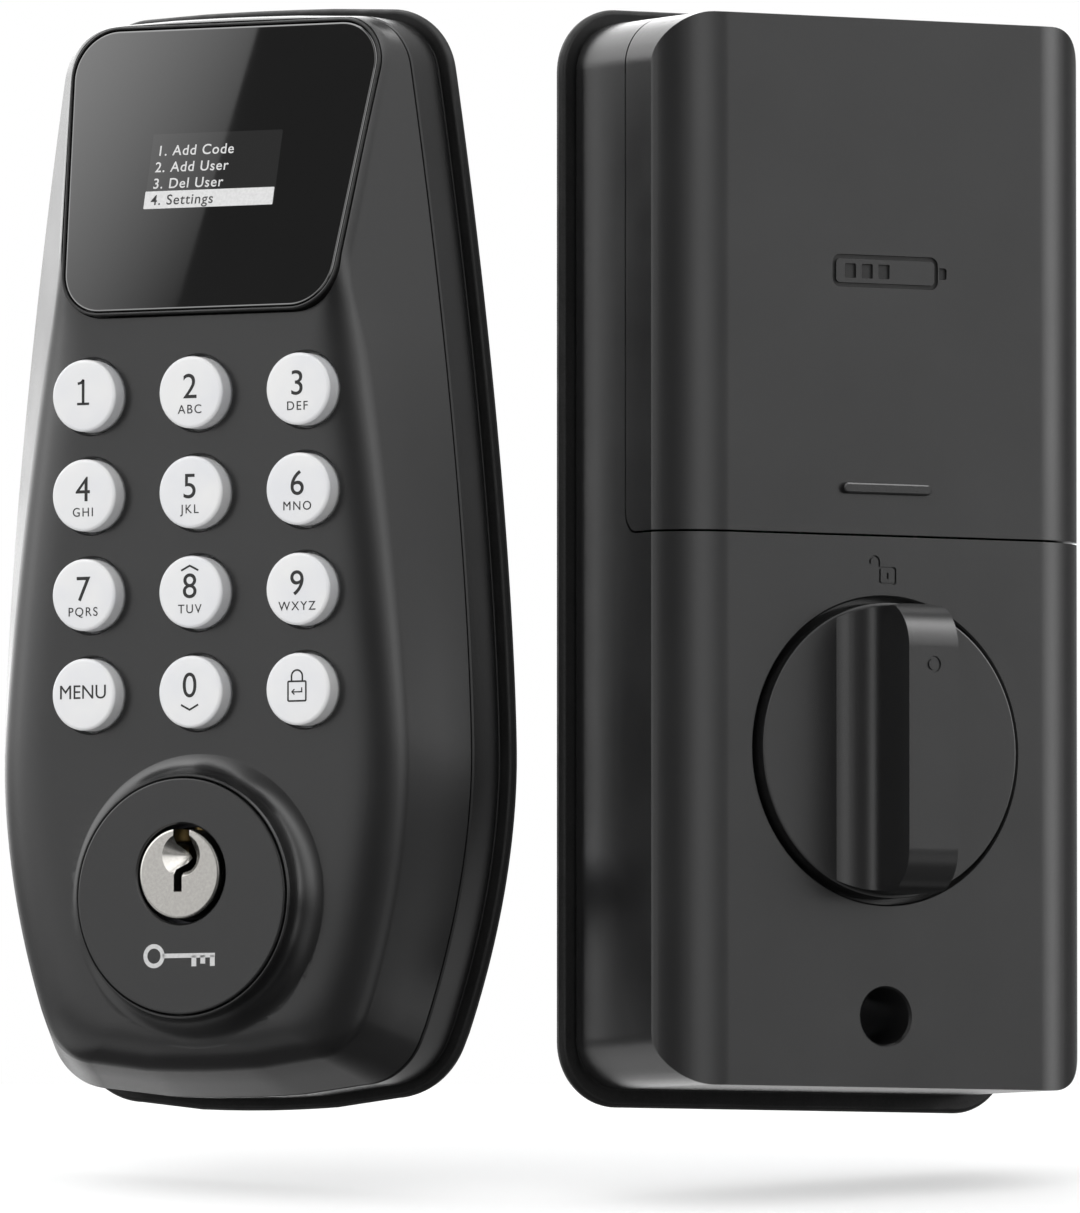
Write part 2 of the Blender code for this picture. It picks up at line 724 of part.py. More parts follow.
def inside_housing(unit):
    housing = inside_case("inside_housing", unit)
    cut(housing, cover_region("cover_space", -SEAM), unit)
    recess = [(TURN_WELL_R, IN_FACE_Y - 5), (TURN_WELL_R, IN_FACE_Y + 3.2)]
    floor = [(TURN_WELL_R + 1.6, IN_FACE_Y + 1.0), (TURN_WELL_R + 1.6, IN_FACE_Y + 5.0)]
    join(housing, turned("turn_floor", floor, (0.0, TURN_Z), 40), unit)
    cut(housing, turned("turn_well", recess, (0.0, TURN_Z), 40), unit)
    cut(housing, turned("turn_bore", [(5.6, IN_FACE_Y), (5.6, IN_FACE_Y + 8)], (0.0, TURN_Z), 24), unit)
    tube = [(SCREW_HOLE_R + 1.5, IN_FACE_Y + 1.0), (SCREW_HOLE_R + 1.5, -5.2)]
    join(housing, turned("screw_tube", tube, (0.0, SCREW_HOLE_Z), 24), unit)
    cut(housing, turned("screw_hole", [(SCREW_HOLE_R, IN_FACE_Y - 1), (SCREW_HOLE_R, -7.5)], (0.0, SCREW_HOLE_Z), 24), unit)
    cut(housing, turned("screw_pass", [(2.1, -8.0), (2.1, -4.0)], (0.0, SCREW_HOLE_Z), 12), unit)
    return housing


def battery_cover(unit):
    cover = inside_case("battery_cover", unit)
    region = put("cover_part", cover_region("cover_part", 0.0), moulded_black(), unit)
    boolean(cover, region, "INTERSECT")
    wide, tall, proud = GRIP_SIZE
    bar = [(x, z) for x, z in rounded_box(wide / 2, GRIP_Z - tall / 2, GRIP_Z + tall / 2, tall / 2 - 0.01, 4)]
    join(cover, prism("grip_bar", bar, IN_FACE_Y - proud, IN_FACE_Y + 0.5), unit)
    return cover


def thumbturn(unit):
    """Round plate with a finger bar across it, blended into the plate on both sides."""
    plate_front = IN_FACE_Y - TURN_PROUD
    plate_back = IN_FACE_Y + 2.9
    pivot = (0.0, plate_front, TURN_Z)
    disc = [(TURN_R - 0.3, plate_front), (TURN_R, plate_front + 0.3), (TURN_R, plate_back)]
    turn = put("thumbturn", turned("thumbturn", disc, (0.0, TURN_Z), 48), shell_plastic(), unit, pivot=pivot)

    half = BAR_WIDTH / 2
    front = plate_front - BAR_PROUD
    sink = 0.12  # the foot meets the plate at a small angle
    foot = []
    for x, y in arc((half + BAR_FOOT_R, plate_front + sink - BAR_FOOT_R), BAR_FOOT_R, 90, 180, 5):
        foot.append((x, y))
    section = [(half + BAR_FOOT_R, plate_front + 1.0)] + foot + [(half, front + 0.4), (half - 0.4, front)]
    section += [(-x, y) for x, y in reversed(section)]
    rings = [[(x, y, TURN_Z + z) for x, y in section] for z in (-TURN_R - 2, TURN_R + 2)]
    bar = put("finger_bar", loft("finger_bar", rings), moulded_black(), unit)
    silhouette = [(-TURN_R + 0.2, plate_front + 2)]
    silhouette += arc((-TURN_R + 0.2 + BAR_END_R, front + BAR_END_R), BAR_END_R, 180, 270, 5)
    silhouette += [(-x, y) for x, y in reversed(silhouette)]
    side = put("bar_side", loft("bar_side", [[(x, y, TURN_Z + z) for z, y in silhouette] for x in (-30.0, 30.0)]), moulded_black(), unit)
    boolean(bar, side, "INTERSECT")
    round_end = put("bar_round", turned("bar_round", [(TURN_R - 0.6, -60.0), (TURN_R - 0.6, plate_front + 2)], (0.0, TURN_Z), 48), moulded_black(), unit)
    boolean(bar, round_end, "INTERSECT")
    boolean(turn, bar, "UNION")

    stem_front, stem_back = plate_back - 0.5, IN_FACE_Y + 12.0
    join(turn, turned("stem", [(5.0, stem_front), (5.0, stem_back)], (0.0, TURN_Z), 24), unit)
    socket = block("socket", (-2.3, stem_back - 4.0, TURN_Z - 2.3), (2.3, stem_back + 1, TURN_Z + 2.3))
    cut(turn, socket, unit)
    return turn


def involute_tooth(teeth, addendum=0.8, dedendum=1.05, thin=0.10):
    """Right-hand flank of one tooth as (radius, angle from the tooth's centre line)."""
    pitch_r = MODULE_MM * teeth / 2
    base_r = pitch_r * math.cos(math.radians(20))
    half = math.pi / (2 * teeth) - thin / (2 * pitch_r)

    def involute(radius):
        roll = math.acos(min(1.0, base_r / radius))
        return math.tan(roll) - roll

    tip_r = pitch_r + addendum * MODULE_MM
    root_r = pitch_r - dedendum * MODULE_MM
    flank = []
    for radius in (max(base_r, root_r), tip_r):
        flank.append((radius, half + involute(pitch_r) - involute(radius)))
    return [(root_r, flank[0][1])] + flank


def gear_outline(teeth, phase):
    """Closed gear outline about the origin, with a tooth centred on the phase angle."""
    flank = involute_tooth(teeth)
    found = []
    for tooth in range(teeth):
        centre = phase + 2 * math.pi * tooth / teeth
        corners = [(r, centre - a) for r, a in flank] + [(r, centre + a) for r, a in reversed(flank)]
        found += [(r * math.cos(a), r * math.sin(a)) for r, a in corners]
    return found


def gear_centres():
    """Drive gear, idler and pinion centres in front view, with the phase that puts each in mesh."""
    step_1 = MODULE_MM * (DRIVE_TEETH + IDLER_TEETH) / 2 + MESH_PLAY
    step_2 = MODULE_MM * (IDLER_TEETH + PINION_TEETH) / 2 + MESH_PLAY
    drive = (0.0, TURN_Z)
    idler = (drive[0] + step_1 * math.cos(IDLER_ANGLE), drive[1] + step_1 * math.sin(IDLER_ANGLE))
    pinion = (idler[0] + step_2 * math.cos(PINION_ANGLE), idler[1] + step_2 * math.sin(PINION_ANGLE))
    drive_phase = IDLER_ANGLE
    idler_phase = IDLER_ANGLE + math.pi + math.pi / IDLER_TEETH
    pitch = 2 * math.pi / IDLER_TEETH
    ahead = (idler_phase - PINION_ANGLE) % pitch
    pinion_phase = PINION_ANGLE + math.pi - ahead * IDLER_TEETH / PINION_TEETH + math.pi / PINION_TEETH
    return (drive, drive_phase), (idler, idler_phase), (pinion, pinion_phase)


def gear(name, teeth, centre, phase, bore_r, thickness, unit, y=GEAR_Y):
    outline = [(centre[0] + x, centre[1] + z) for x, z in gear_outline(teeth, phase)]
    pivot = (centre[0], y, centre[1])
    wheel = put(name, prism(name, outline, y, y + thickness), gear_plastic(), unit, pivot=pivot)
    if bore_r:
        cut(wheel, turned("bore", [(bore_r, y - 1), (bore_r, y + thickness + 1)], centre, 20), unit)
    return wheel


def gear_train(unit):
    (drive, drive_phase), (idler, idler_phase), (pinion, pinion_phase) = gear_centres()
    gear("drive_gear", DRIVE_TEETH, drive, drive_phase, 5.3, GEAR_THICK, unit)
    hub = [(2.4, IN_FACE_Y + 12.3), (5.0, IN_FACE_Y + 12.3), (5.0, -2.6), (2.4, -2.6)]
    spindle = turned("spindle_hub", hub, (0.0, TURN_Z), 20, ring=True)
    hub_object = put("spindle_hub", spindle, zinc_steel(), unit, pivot=(0.0, GEAR_Y, TURN_Z))
    cut(hub_object, block("tail_slot", (-3.5, -8.0, TURN_Z - 1.2), (3.5, 0.0, TURN_Z + 1.2)), unit)
    gear("idler_gear", IDLER_TEETH, idler, idler_phase, 1.8, GEAR_THICK, unit)
    put("idler_pin", turned("idler_pin", [(1.5, GEAR_Y - 3.5), (1.5, -7.4)], idler, 16), zinc_steel(), unit)

    wheel = gear("motor_pinion", PINION_TEETH, pinion, pinion_phase, 0.0, GEAR_THICK, unit)
    join(wheel, turned("motor_shaft", [(0.9, GEAR_Y - 4.0), (0.9, GEAR_Y + 0.5)], pinion, 12), unit)
    motor_front, motor_back = -22.6, GEAR_Y - 1.6
    can = turned("gearmotor", [(MOTOR_R - 0.6, motor_front), (MOTOR_R, motor_front + 0.6), (MOTOR_R, motor_back)], pinion, 28)
    motor = put("gearmotor", can, zinc_steel(), unit)
    cut(motor, turned("shaft_pass", [(1.3, motor_back - 3.0), (1.3, motor_back + 1)], pinion, 12), unit)


def contact_strip(name, low_z, high_z, unit):
    """Sprung plate across the ends of the four cells."""
    back, front = CELL_Y + 5.5, CELL_Y - 5.5
    plate = put(name, block(name, (-29.5, front, low_z), (29.5, back, high_z)), zinc_steel(), unit)
    return plate


def inside_fittings(unit):
    rim = lambda grow, y: [(x, y, z) for x, z in inside_outline(grow)]
    rings = [rim(IN_OVERHANG, -GASKET_THICK), rim(IN_OVERHANG, 0.0), rim(-4.0, 0.0), rim(-4.0, -GASKET_THICK)]
    put("inside_gasket", loft("inside_gasket", rings, capped=False), black_rubber(), unit)

    plate = put("mounting_plate", prism("mounting_plate", rounded_box(29.6, 6.7, 145.3, 3.0, 4), -1.9, -0.3), zinc_steel(), unit)
    cut(plate, turned("spindle_window", [(13.0, -4.0), (13.0, 2.0)], (0.0, TURN_Z), 32), unit)
    for x in (-POST_SPREAD, POST_SPREAD):
        cut(plate, prism("bolt_slot", [(x + a, TURN_Z + b) for a, b in rounded_box(2.8, -3.6, 3.6, 2.7, 4)], -4.0, 2.0), unit)
    cut(plate, turned("fixing_thread", [(1.7, -4.0), (1.7, 2.0)], (0.0, SCREW_HOLE_Z), 16), unit)
    cut(plate, prism("cable_window", rounded_box(9.0, 92.0, 104.0, 3.0, 4), -4.0, 2.0), unit)

    chassis = put("rear_chassis", prism("rear_chassis", inside_outline(-IN_WALL - GAP), -4.4, -2.5), moulded_black(), unit)
    cut(chassis, turned("hub_pass", [(5.6, -6.0), (5.6, 0.0)], (0.0, TURN_Z), 24), unit)
    cut(chassis, turned("fixing_pass", [(2.1, -6.0), (2.1, 0.0)], (0.0, SCREW_HOLE_Z), 12), unit)
    cut(chassis, prism("cable_pass", rounded_box(8.0, 93.0, 103.0, 3.0, 4), -6.0, 0.0), unit)
    for x in (-POST_SPREAD, POST_SPREAD):
        cut(chassis, turned("bolt_head_pass", [(5.2, -6.0), (5.2, 0.0)], (x, TURN_Z), 16), unit)

    board = put("control_board", prism("control_board", rounded_box(31.0, 20.0, 84.0, 2.0, 3), -6.6, -5.2), circuit_board(), unit)
    cut(board, turned("board_hub_pass", [(6.2, -8.0), (6.2, -4.0)], (0.0, TURN_Z), 24), unit)
    for x in (-POST_SPREAD, POST_SPREAD):
        cut(board, turned("board_bolt_pass", [(5.2, -8.0), (5.2, -4.0)], (x, TURN_Z), 16), unit)
    put("sounder", turned("sounder", [(4.5, -11.5), (4.5, -6.9)], (22.0, 30.0), 20), moulded_black(), unit)

    bracket = put("gear_bracket", prism("gear_bracket", rounded_box(30.0, 19.0, 76.5, 2.0, 3), GEAR_Y - 1.3, GEAR_Y - 0.4), zinc_steel(), unit)
    (drive, _), (idler, _), (pinion, _) = gear_centres()
    cut(bracket, turned("bracket_hub", [(5.6, -20.0), (5.6, -10.0)], drive, 24), unit)
    cut(bracket, turned("bracket_pin", [(1.8, -20.0), (1.8, -10.0)], idler, 12), unit)
    cut(bracket, turned("bracket_shaft", [(2.4, -20.0), (2.4, -10.0)], pinion, 16), unit)

    screw = [(1.2, -0.4), (1.2, -7.8), (3.2, -7.8), (3.2, -10.4)]
    fixing = put("fixing_screw", turned("fixing_screw", screw, (0.0, SCREW_HOLE_Z), 20), zinc_steel(), unit)
    for angle in (0, 90):
        slot = block("cross_slot", (-1.9, -11.0, -0.4), (1.9, -9.2, 0.4))
        slot.transform(Matrix.Rotation(math.radians(angle), 4, "Y"))
        slot.transform(Matrix.Translation((0.0, 0.0, SCREW_HOLE_Z)))
        cut(fixing, slot, unit)


def batteries(unit):
    tray_low, tray_high = CELL_BOTTOM_Z - 4.5, CELL_BOTTOM_Z + CELL_LENGTH + 4.5
    tray = put("battery_tray", block("battery_tray", (-31.6, CELL_Y - 1.5, tray_low), (31.6, -8.0, tray_high)), moulded_black(), unit)
    for number in range(4):
        x = (number - 1.5) * CELL_PITCH
        bed = [[(x + a, CELL_Y + b, z) for a, b in arc((0, 0), CELL_R + GAP, 0, 360 - 15, 23)] for z in (tray_low + 2.6, tray_high - 2.6)]
        cut(tray, loft("cell_bed", bed), unit)
    for name, low in (("contact_strip_low", tray_low + 2.9), ("contact_strip_high", tray_high - 3.5)):
        contact_strip(name, low, low + 0.6, unit)
    clearance = block("contact_room", (-30.0, CELL_Y - 8.0, tray_low + 2.6), (30.0, CELL_Y + 6.0, tray_low + 3.8))
    cut(tray, clearance, unit)
    clearance = block("contact_room", (-30.0, CELL_Y - 8.0, tray_high - 3.8), (30.0, CELL_Y + 6.0, tray_high - 2.6))
    cut(tray, clearance, unit)
    for number in range(4):
        x = (number - 1.5) * CELL_PITCH
        low = CELL_BOTTOM_Z
        profile = [(CELL_R - 0.4, low), (CELL_R, low + 0.4), (CELL_R, low + CELL_LENGTH - 1.4), (CELL_R - 0.5, low + CELL_LENGTH - 1.0), (2.7, low + CELL_LENGTH - 1.0), (2.7, low + CELL_LENGTH)]
        rings = [[(x + a, CELL_Y + b, z) for a, b in arc((0, 0), r, 0, 360 - 18, 19)] for r, z in profile]
        put(f"cell_{number + 1}", loft("cell", rings), battery_wrap(), unit, smooth=25)


# ---------------------------------------------------------------- the pair


def unit_frame(name, x, yaw):
    unit = bpy.data.objects.new(name, None)
    unit.location = (x * MM, 0.0, 0.0)
    unit.rotation_euler = (0.0, 0.0, yaw)
    bpy.context.scene.collection.objects.link(unit)
    return unit


def centre_pair(units):
    """Moves the units so that the pair's box is centred on Z with its lowest point at z = 0."""
    bpy.context.view_layer.update()
    graph = bpy.context.evaluated_depsgraph_get()
    corners = []
    for thing in bpy.data.objects:
        if thing.type == "MESH" and not thing.hide_render:
            solid = thing.evaluated_get(graph)
            corners += [solid.matrix_world @ point.co for point in solid.data.vertices]
    low = Vector([min(c[k] for c in corners) for k in range(3)])
    high = Vector([max(c[k] for c in corners) for k in range(3)])
    shift = Vector((-(low.x + high.x) / 2, -(low.y + high.y) / 2, -low.z))
    for unit in units:
        unit.location += shift


def main():
    clear_scene()
    outside = unit_frame("outside_unit", OUTSIDE_X, OUTSIDE_YAW)
    front_shell(outside)
    rear_case(outside)
    outside_fittings(outside)
    keys(outside)
    key_cylinder(outside)

    inside = unit_frame("inside_unit", INSIDE_X, INSIDE_YAW)
    inside_housing(inside)
    battery_cover(inside)
    thumbturn(inside)
    gear_train(inside)
    inside_fittings(inside)
    batteries(inside)
    centre_pair([outside, inside])


main()
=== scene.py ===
import json
import math

import bmesh
import bpy
from mathutils import Matrix, Vector


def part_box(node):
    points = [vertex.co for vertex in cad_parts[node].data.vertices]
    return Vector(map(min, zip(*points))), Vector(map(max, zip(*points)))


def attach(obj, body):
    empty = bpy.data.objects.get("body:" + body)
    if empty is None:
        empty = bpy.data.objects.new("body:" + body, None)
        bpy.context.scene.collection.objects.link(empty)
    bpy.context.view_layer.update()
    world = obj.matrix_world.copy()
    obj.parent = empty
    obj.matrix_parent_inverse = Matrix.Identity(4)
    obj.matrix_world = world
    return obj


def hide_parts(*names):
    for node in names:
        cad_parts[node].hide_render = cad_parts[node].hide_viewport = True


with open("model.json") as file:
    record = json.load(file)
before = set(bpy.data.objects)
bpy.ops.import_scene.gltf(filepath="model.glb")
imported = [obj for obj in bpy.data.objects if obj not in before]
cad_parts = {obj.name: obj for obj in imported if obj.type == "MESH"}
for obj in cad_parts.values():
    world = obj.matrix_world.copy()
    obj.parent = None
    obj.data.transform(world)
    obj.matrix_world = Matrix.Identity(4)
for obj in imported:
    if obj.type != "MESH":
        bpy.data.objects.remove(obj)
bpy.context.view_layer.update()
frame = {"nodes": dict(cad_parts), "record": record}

MM = 0.001

# ---------------------------------------------------------------- sizes, in mm

OUT_TOP, OUT_BOTTOM = 151.4, 1.6
BELLY_Z, BELLY_HALF = 48.0, 37.0
UPPER_SIDE, LOWER_SIDE = (0.00813, 1.55), (0.00839, 1.873)
TOP_CORNER_R, BOTTOM_CORNER_R = 8.4, 10.0
BOTTOM_CROWN_R, TOP_CROWN_R = 200.0, 500.0
PART_Y, FACE_Y, CASE_BACK_Y = -10.5, -21.5, -2.3
BEND_Z, BEND_SOFT, LEAN = 115.5, 2.5, 0.262
FLANK_SLOPE, FLANK_GAIN, FLANK_MOST, END_SLOPE = 0.36, 0.0048, 0.88, 0.37
CREASE_SHARE, CREASE_EDGE = 0.45, 0.3
KEYPAD_FOLD, DISPLAY_FOLD = (2.1, 9.5, 4.0), (1.1, 1.1, 1.3)
BOTTOM_FOLD, TOP_FOLD = (1.9, 6.4, 3.4), (0.7, 0.5, 1.4)
FOLD_CHANGE = (99.0, 118.0)
WALL = 2.0

GLASS_TOP_Z, GLASS_BOTTOM_Z = 150.0, 110.2
GLASS_TOP_HALF, GLASS_BOTTOM_HALF, GLASS_R = 24.5, 20.7, 6.2
BEZEL_WIDTH, POCKET_DEPTH, POCKET_GAP = 0.6, 1.0, 0.16
SCREEN_Z, SCREEN_X, SCREEN_HALF, SCREEN_TALL = 129.8, 0.25, 10.2, 10.9

KEY_PITCH_X, KEY_PITCH_Z, KEY_TOP_ROW_Z = 16.9, 13.8, 98.6
KEY_R, KEY_PROUD, KEY_EDGE_R, KEY_CROWN, KEY_GAP = 5.0, 2.4, 0.5, 0.03, 0.3
FLANGE_WIDTH, FLANGE_THICK, KEY_FOOT = 0.8, 1.0, 4.1
DIGIT_SIZE, LETTER_SIZE, WORD_SIZE, PRINT_DEPTH = 4.9, 1.75, 2.75, 0.06

CYLINDER_Z, PLUG_Z = 28.9, 32.0
BOSS_TOP_R, BOSS_FLARE_R, BOSS_PROUD = 16.75, 3.9, 4.6
COLLAR_R, COLLAR_BORE_R, COLLAR_THICK, COLLAR_PROUD = 16.3, 6.9, 3.3, 0.3
PLUG_R, PLUG_PROUD = 6.3, 0.45

IN_HALF, IN_BOTTOM, IN_TOP, IN_CORNER_R, CASE_LOW = 34.3, 2.0, 150.0, 7.0, 2.5
IN_FACE_Y, IN_EDGE_Y, IN_CROWN_WIDTH, IN_WALL = -28.0, -22.6, 9.3, 1.8
COVER_SPLIT_Z, COVER_SKIRT_Y, COVER_CORNER_R, SEAM, BAND_SEAM = 78.7, -15.7, 3.0, 0.3, 0.5
GRIP_Z, GRIP_SIZE = 85.0, (14.2, 1.5, 0.8)
TURN_Z, TURN_WELL_R, TURN_R, TURN_PROUD = 48.9, 21.2, 20.4, 1.2
BAR_WIDTH, BAR_PROUD, BAR_END_R, BAR_FOOT_R = 7.9, 11.6, 6.2, 5.5
SCREW_HOLE_Z, SCREW_HOLE_R = 12.3, 3.9
KEY_SIGN_Z, PADLOCK_SIGN_Z, BATTERY_SIGN_Z = 20.7, 73.8, 115.0

PANEL_THICK, PLUG_HOLE_R, BOLT_X, BOLT_HOLE_R = 1.8, 12.0, 19.0, 4.3
CASE_SCREWS = ((25.6, 91.8), (23.0, 44.0))
CASE_SCREW_R, CASE_SCREW_HEAD_R, CASE_SCREW_SINK = 1.5, 2.7, 0.9
CABLE_SLOT_HALF, CABLE_SLOT_LOW, CABLE_SLOT_HIGH = 5.0, 54.5, 60.5
USB_HALF, USB_R, USB_Y = 2.9, 2.0, -6.4
OUTSIDE_BACK_AT, INSIDE_BACK_AT = (35.0, 0.0, 48.0), (33.5, 0.0, 76.0)

# ---------------------------------------------------------------- studio, in metres

FLOOR_UNDER, FLOOR_HALF, FLOOR_SLOPE = -0.0105, 9.0, math.tan(math.radians(8.0))
FLOOR_BROW_Y, FLOOR_BROW_SOFT = 0.14, 0.06
FLOOR_ROWS = (-2.0, -0.6, -0.2, 0.0, 0.06, 0.10, 0.12, 0.14, 0.16, 0.20, 0.6, 2.0)
FLOOR_GLOW = 0.43

# Soft boxes round the lock as (degrees from the front, level), then (height on a unit sphere, level).
SKY_GAIN = 1.6
SKY_ROUND = (
    (-180, 2.8), (-168, 2.5), (-152, 1.8), (-140, 2.1), (-126, 1.6), (-112, 1.6), (-102, 2.5), (-92, 3.4),
    (-80, 2.9), (-70, 2.5), (-61, 2.6), (-54, 1.3), (-46, 0.45), (-34, 0.3), (-24, 0.3), (-12, 0.55),
    (0, 1.2), (10, 2.1), (20, 2.4), (38, 1.5), (48, 0.8), (54, 0.9), (61, 1.12), (66, 2.1),
    (73, 3.9), (83, 5.2), (92, 3.4), (102, 1.5), (112, 0.5), (126, 0.3), (170, 0.4), (180, 2.8),
)
SKY_UP = (
    (-1.0, 0.03), (-0.55, 0.05), (-0.44, 0.28), (-0.2, 0.28), (-0.1, 0.06), (-0.04, 0.18), (0.05, 0.62),
    (0.2, 0.95), (0.5, 1.0), (0.8, 1.2), (1.0, 1.3),
)
PAPER_LEVEL, PAPER_AWAY_GAIN, PAPER_BELOW_GAIN = 0.27, 1.6, -8.0
SOFT_FROM = Vector((-0.785, -0.453, 0.423))
SOFT_LEVEL, SOFT_LEAN, SOFT_TOP = 0.84, 0.9, 0.7

CAMERA_AWAY, CAMERA_LOW, CAMERA_FRAME, CAMERA_SENSOR = 3.0, math.radians(3.0), 0.1685, 36.0
CAMERA_AIM = Vector((0.0, 0.0052, 0.07007))
CAMERA_AT = CAMERA_AIM - Vector((0.0, math.cos(CAMERA_LOW), math.sin(CAMERA_LOW))) * CAMERA_AWAY

# Cards that only the display glass reflects, by the stretch of glass that they fill in mm.
CARD_DISTANCE, CARD_STEPS = 0.5, 12
CARD_LOW_Z, CARD_HIGH_Z = 106.0, 154.0
CARD_SPLIT_LOW_X, CARD_SPLIT_HIGH_X = -3.6, 5.2
CARD_LEFT_X, CARD_RIGHT_X, CARD_RIGHT_GLOW = -29.0, 31.0, 0.115
SHEEN_AT, SHEEN_GLOW, SHEEN_LEAST = (-11.0, 133.0), 1.28, 0.22
SHEEN_PER_X, SHEEN_PER_Z = -0.0510, 0.0256


def unit_frame(mount_name, mount_at):
    """The transform of a unit, found from a mount whose place in the unit is known."""
    mount = next(m for m in frame["record"]["mounts"] if m["name"] == mount_name)
    facing = mount["axis"]
    turn = Matrix.Rotation(math.atan2(-facing[0], facing[1]), 4, "Z")
    return Matrix.Translation(mount["pos_m"]) @ turn @ Matrix.Translation(-Vector(mount_at) * MM)


OUTSIDE = unit_frame("outside_back", OUTSIDE_BACK_AT)
INSIDE = unit_frame("inside_back", INSIDE_BACK_AT)


# ---------------------------------------------------------------- materials


class Tree:
    """A node tree with short ways to add to it."""

    def __init__(self, tree):
        self.tree = tree

    def add(self, kind, inputs=(), **settings):
        """A new node, with its inputs linked to sockets or set to constants."""
        node = self.tree.nodes.new(kind)
        for key, value in settings.items():
            setattr(node, key, value)
        for key, value in dict(inputs).items():
            self.feed(node.inputs[key], value)
        return node

    def feed(self, socket, value):
        if isinstance(value, bpy.types.NodeSocket):
            self.tree.links.new(value, socket)
        else:
            socket.default_value = value

    def combine(self, operation, first, second):
        return self.add("ShaderNodeMath", {0: first, 1: second}, operation=operation).outputs[0]

    def clipped(self, value, gain):
        """The value times gain, kept between 0 and 1."""
        least = self.combine("MAXIMUM", self.combine("MULTIPLY", value, gain), 0.0)
        return self.combine("MINIMUM", least, 1.0)

    def between(self, factor, low, high, frm=(0.3, 0.7)):
        inputs = {"Value": factor, "From Min": frm[0], "From Max": frm[1], "To Min": low, "To Max": high}
        return self.add("ShaderNodeMapRange", inputs).outputs["Result"]


class Nodes(Tree):
    """A material's tree, with textures placed in the piece's own space."""

    def __init__(self, name):
        self.material = bpy.data.materials.new(name)
        self.material.use_nodes = True
        super().__init__(self.material.node_tree)
        self.shader = self.tree.nodes["Principled BSDF"]
        self.place = self.add("ShaderNodeTexCoord").outputs["Object"]

    def noise(self, scale, detail=2.0, stretch=None, rough=0.5):
        """Noise from 0 to 1, with scale in cycles per metre."""
        where = self.place
        if stretch:
            where = self.add("ShaderNodeMapping", {"Vector": where, "Scale": stretch}).outputs[0]
        inputs = {"Vector": where, "Scale": scale, "Detail": detail, "Roughness": rough}
        return self.add("ShaderNodeTexNoise", inputs).outputs["Fac"]

    def mix(self, factor, first, second):
        node = self.add("ShaderNodeMix", data_type="RGBA")
        self.feed(node.inputs["Factor"], factor)
        self.feed(node.inputs["A"], first)
        self.feed(node.inputs["B"], second)
        return node.outputs["Result"]

    def bump(self, height, strength, distance):
        inputs = {"Height": height, "Strength": strength, "Distance": distance}
        return self.add("ShaderNodeBump", inputs).outputs["Normal"]

    def set(self, **values):
        """Feeds the shader's inputs, whose names have underscores here for spaces."""
        for key, value in values.items():
            self.feed(self.shader.inputs[key.replace("_", " ")], value)


def grey(level, tint=(1.0, 1.0, 1.0)):
    return (level * tint[0], level * tint[1], level * tint[2], 1.0)


def charcoal():
    """Fine-grained satin coat: a speckle of a fifth of a millimetre, with soft wide unevenness."""
    n = Nodes("charcoal_shell")
    speckle = n.noise(5200.0, 3.0, rough=0.62)
    cloud = n.noise(70.0)
    dark, light = grey(0.00675, (1.0, 1.0, 1.03)), grey(0.0117, (1.0, 1.0, 1.02))
    n.set(Base_Color=n.mix(n.between(speckle, 0.0, 1.0), dark, light))
    n.set(Roughness=n.between(cloud, 0.22, 0.27))
    n.set(Normal=n.bump(speckle, 0.36, 0.00004))
    return n.material


def key_white():
    """Moulded white with a faint orange-peel and a soft satin gloss."""
    n = Nodes("white_key")
    peel = n.noise(900.0)
    dark, light = grey(0.72, (0.98, 0.99, 1.02)), grey(0.76)
    n.set(Base_Color=n.mix(n.between(n.noise(160.0), 0.0, 1.0), dark, light))
    n.set(Roughness=n.between(peel, 0.30, 0.40))
    n.set(Normal=n.bump(peel, 0.08, 0.00006))
    n.set(Subsurface_Weight=0.08, Subsurface_Radius=(0.0012, 0.0012, 0.0012))
    return n.material


def ink(name, level, roughness=0.4, glow=0.0):
    n = Nodes(name)
    speckle = n.noise(2600.0)
    n.set(Base_Color=n.mix(n.between(speckle, 0.0, 1.0), grey(level * 0.9), grey(level * 1.08)))
    n.set(Roughness=roughness)
    if glow:
        n.set(Emission_Color=n.mix(n.between(speckle, 0.0, 1.0), grey(0.9), grey(1.0)))
        n.set(Emission_Strength=glow)
    return n.material


def display_glass(name="black_glass", glow=0.0):
    """Near-black polished glass with a breath of unevenness in its polish."""
    n = Nodes(name)
    n.set(Base_Color=n.mix(n.between(n.noise(30.0), 0.0, 1.0), grey(0.0022), grey(0.0034)))
    n.set(Roughness=n.between(n.noise(90.0), 0.012, 0.022))
    n.set(IOR=1.85, Emission_Color=grey(1.0), Emission_Strength=glow)
    return n.material


def metal(name, colour, roughness, brush=None, spread=0.06, scale=900.0, depth=0.12):
    """Plated metal, with brush lines along the direction in which the stretch is small."""
    n = Nodes(name)
    lines = n.noise(scale, 3.0, stretch=brush)
    dark = tuple(0.86 * c for c in colour)
    n.set(Base_Color=n.mix(n.between(lines, 0.0, 1.0), (*dark, 1.0), (*colour, 1.0)))
    n.set(Roughness=n.between(lines, roughness - spread, roughness + spread))
    n.set(Normal=n.bump(lines, depth, 0.00003))
    n.set(Metallic=1.0)
    return n.material


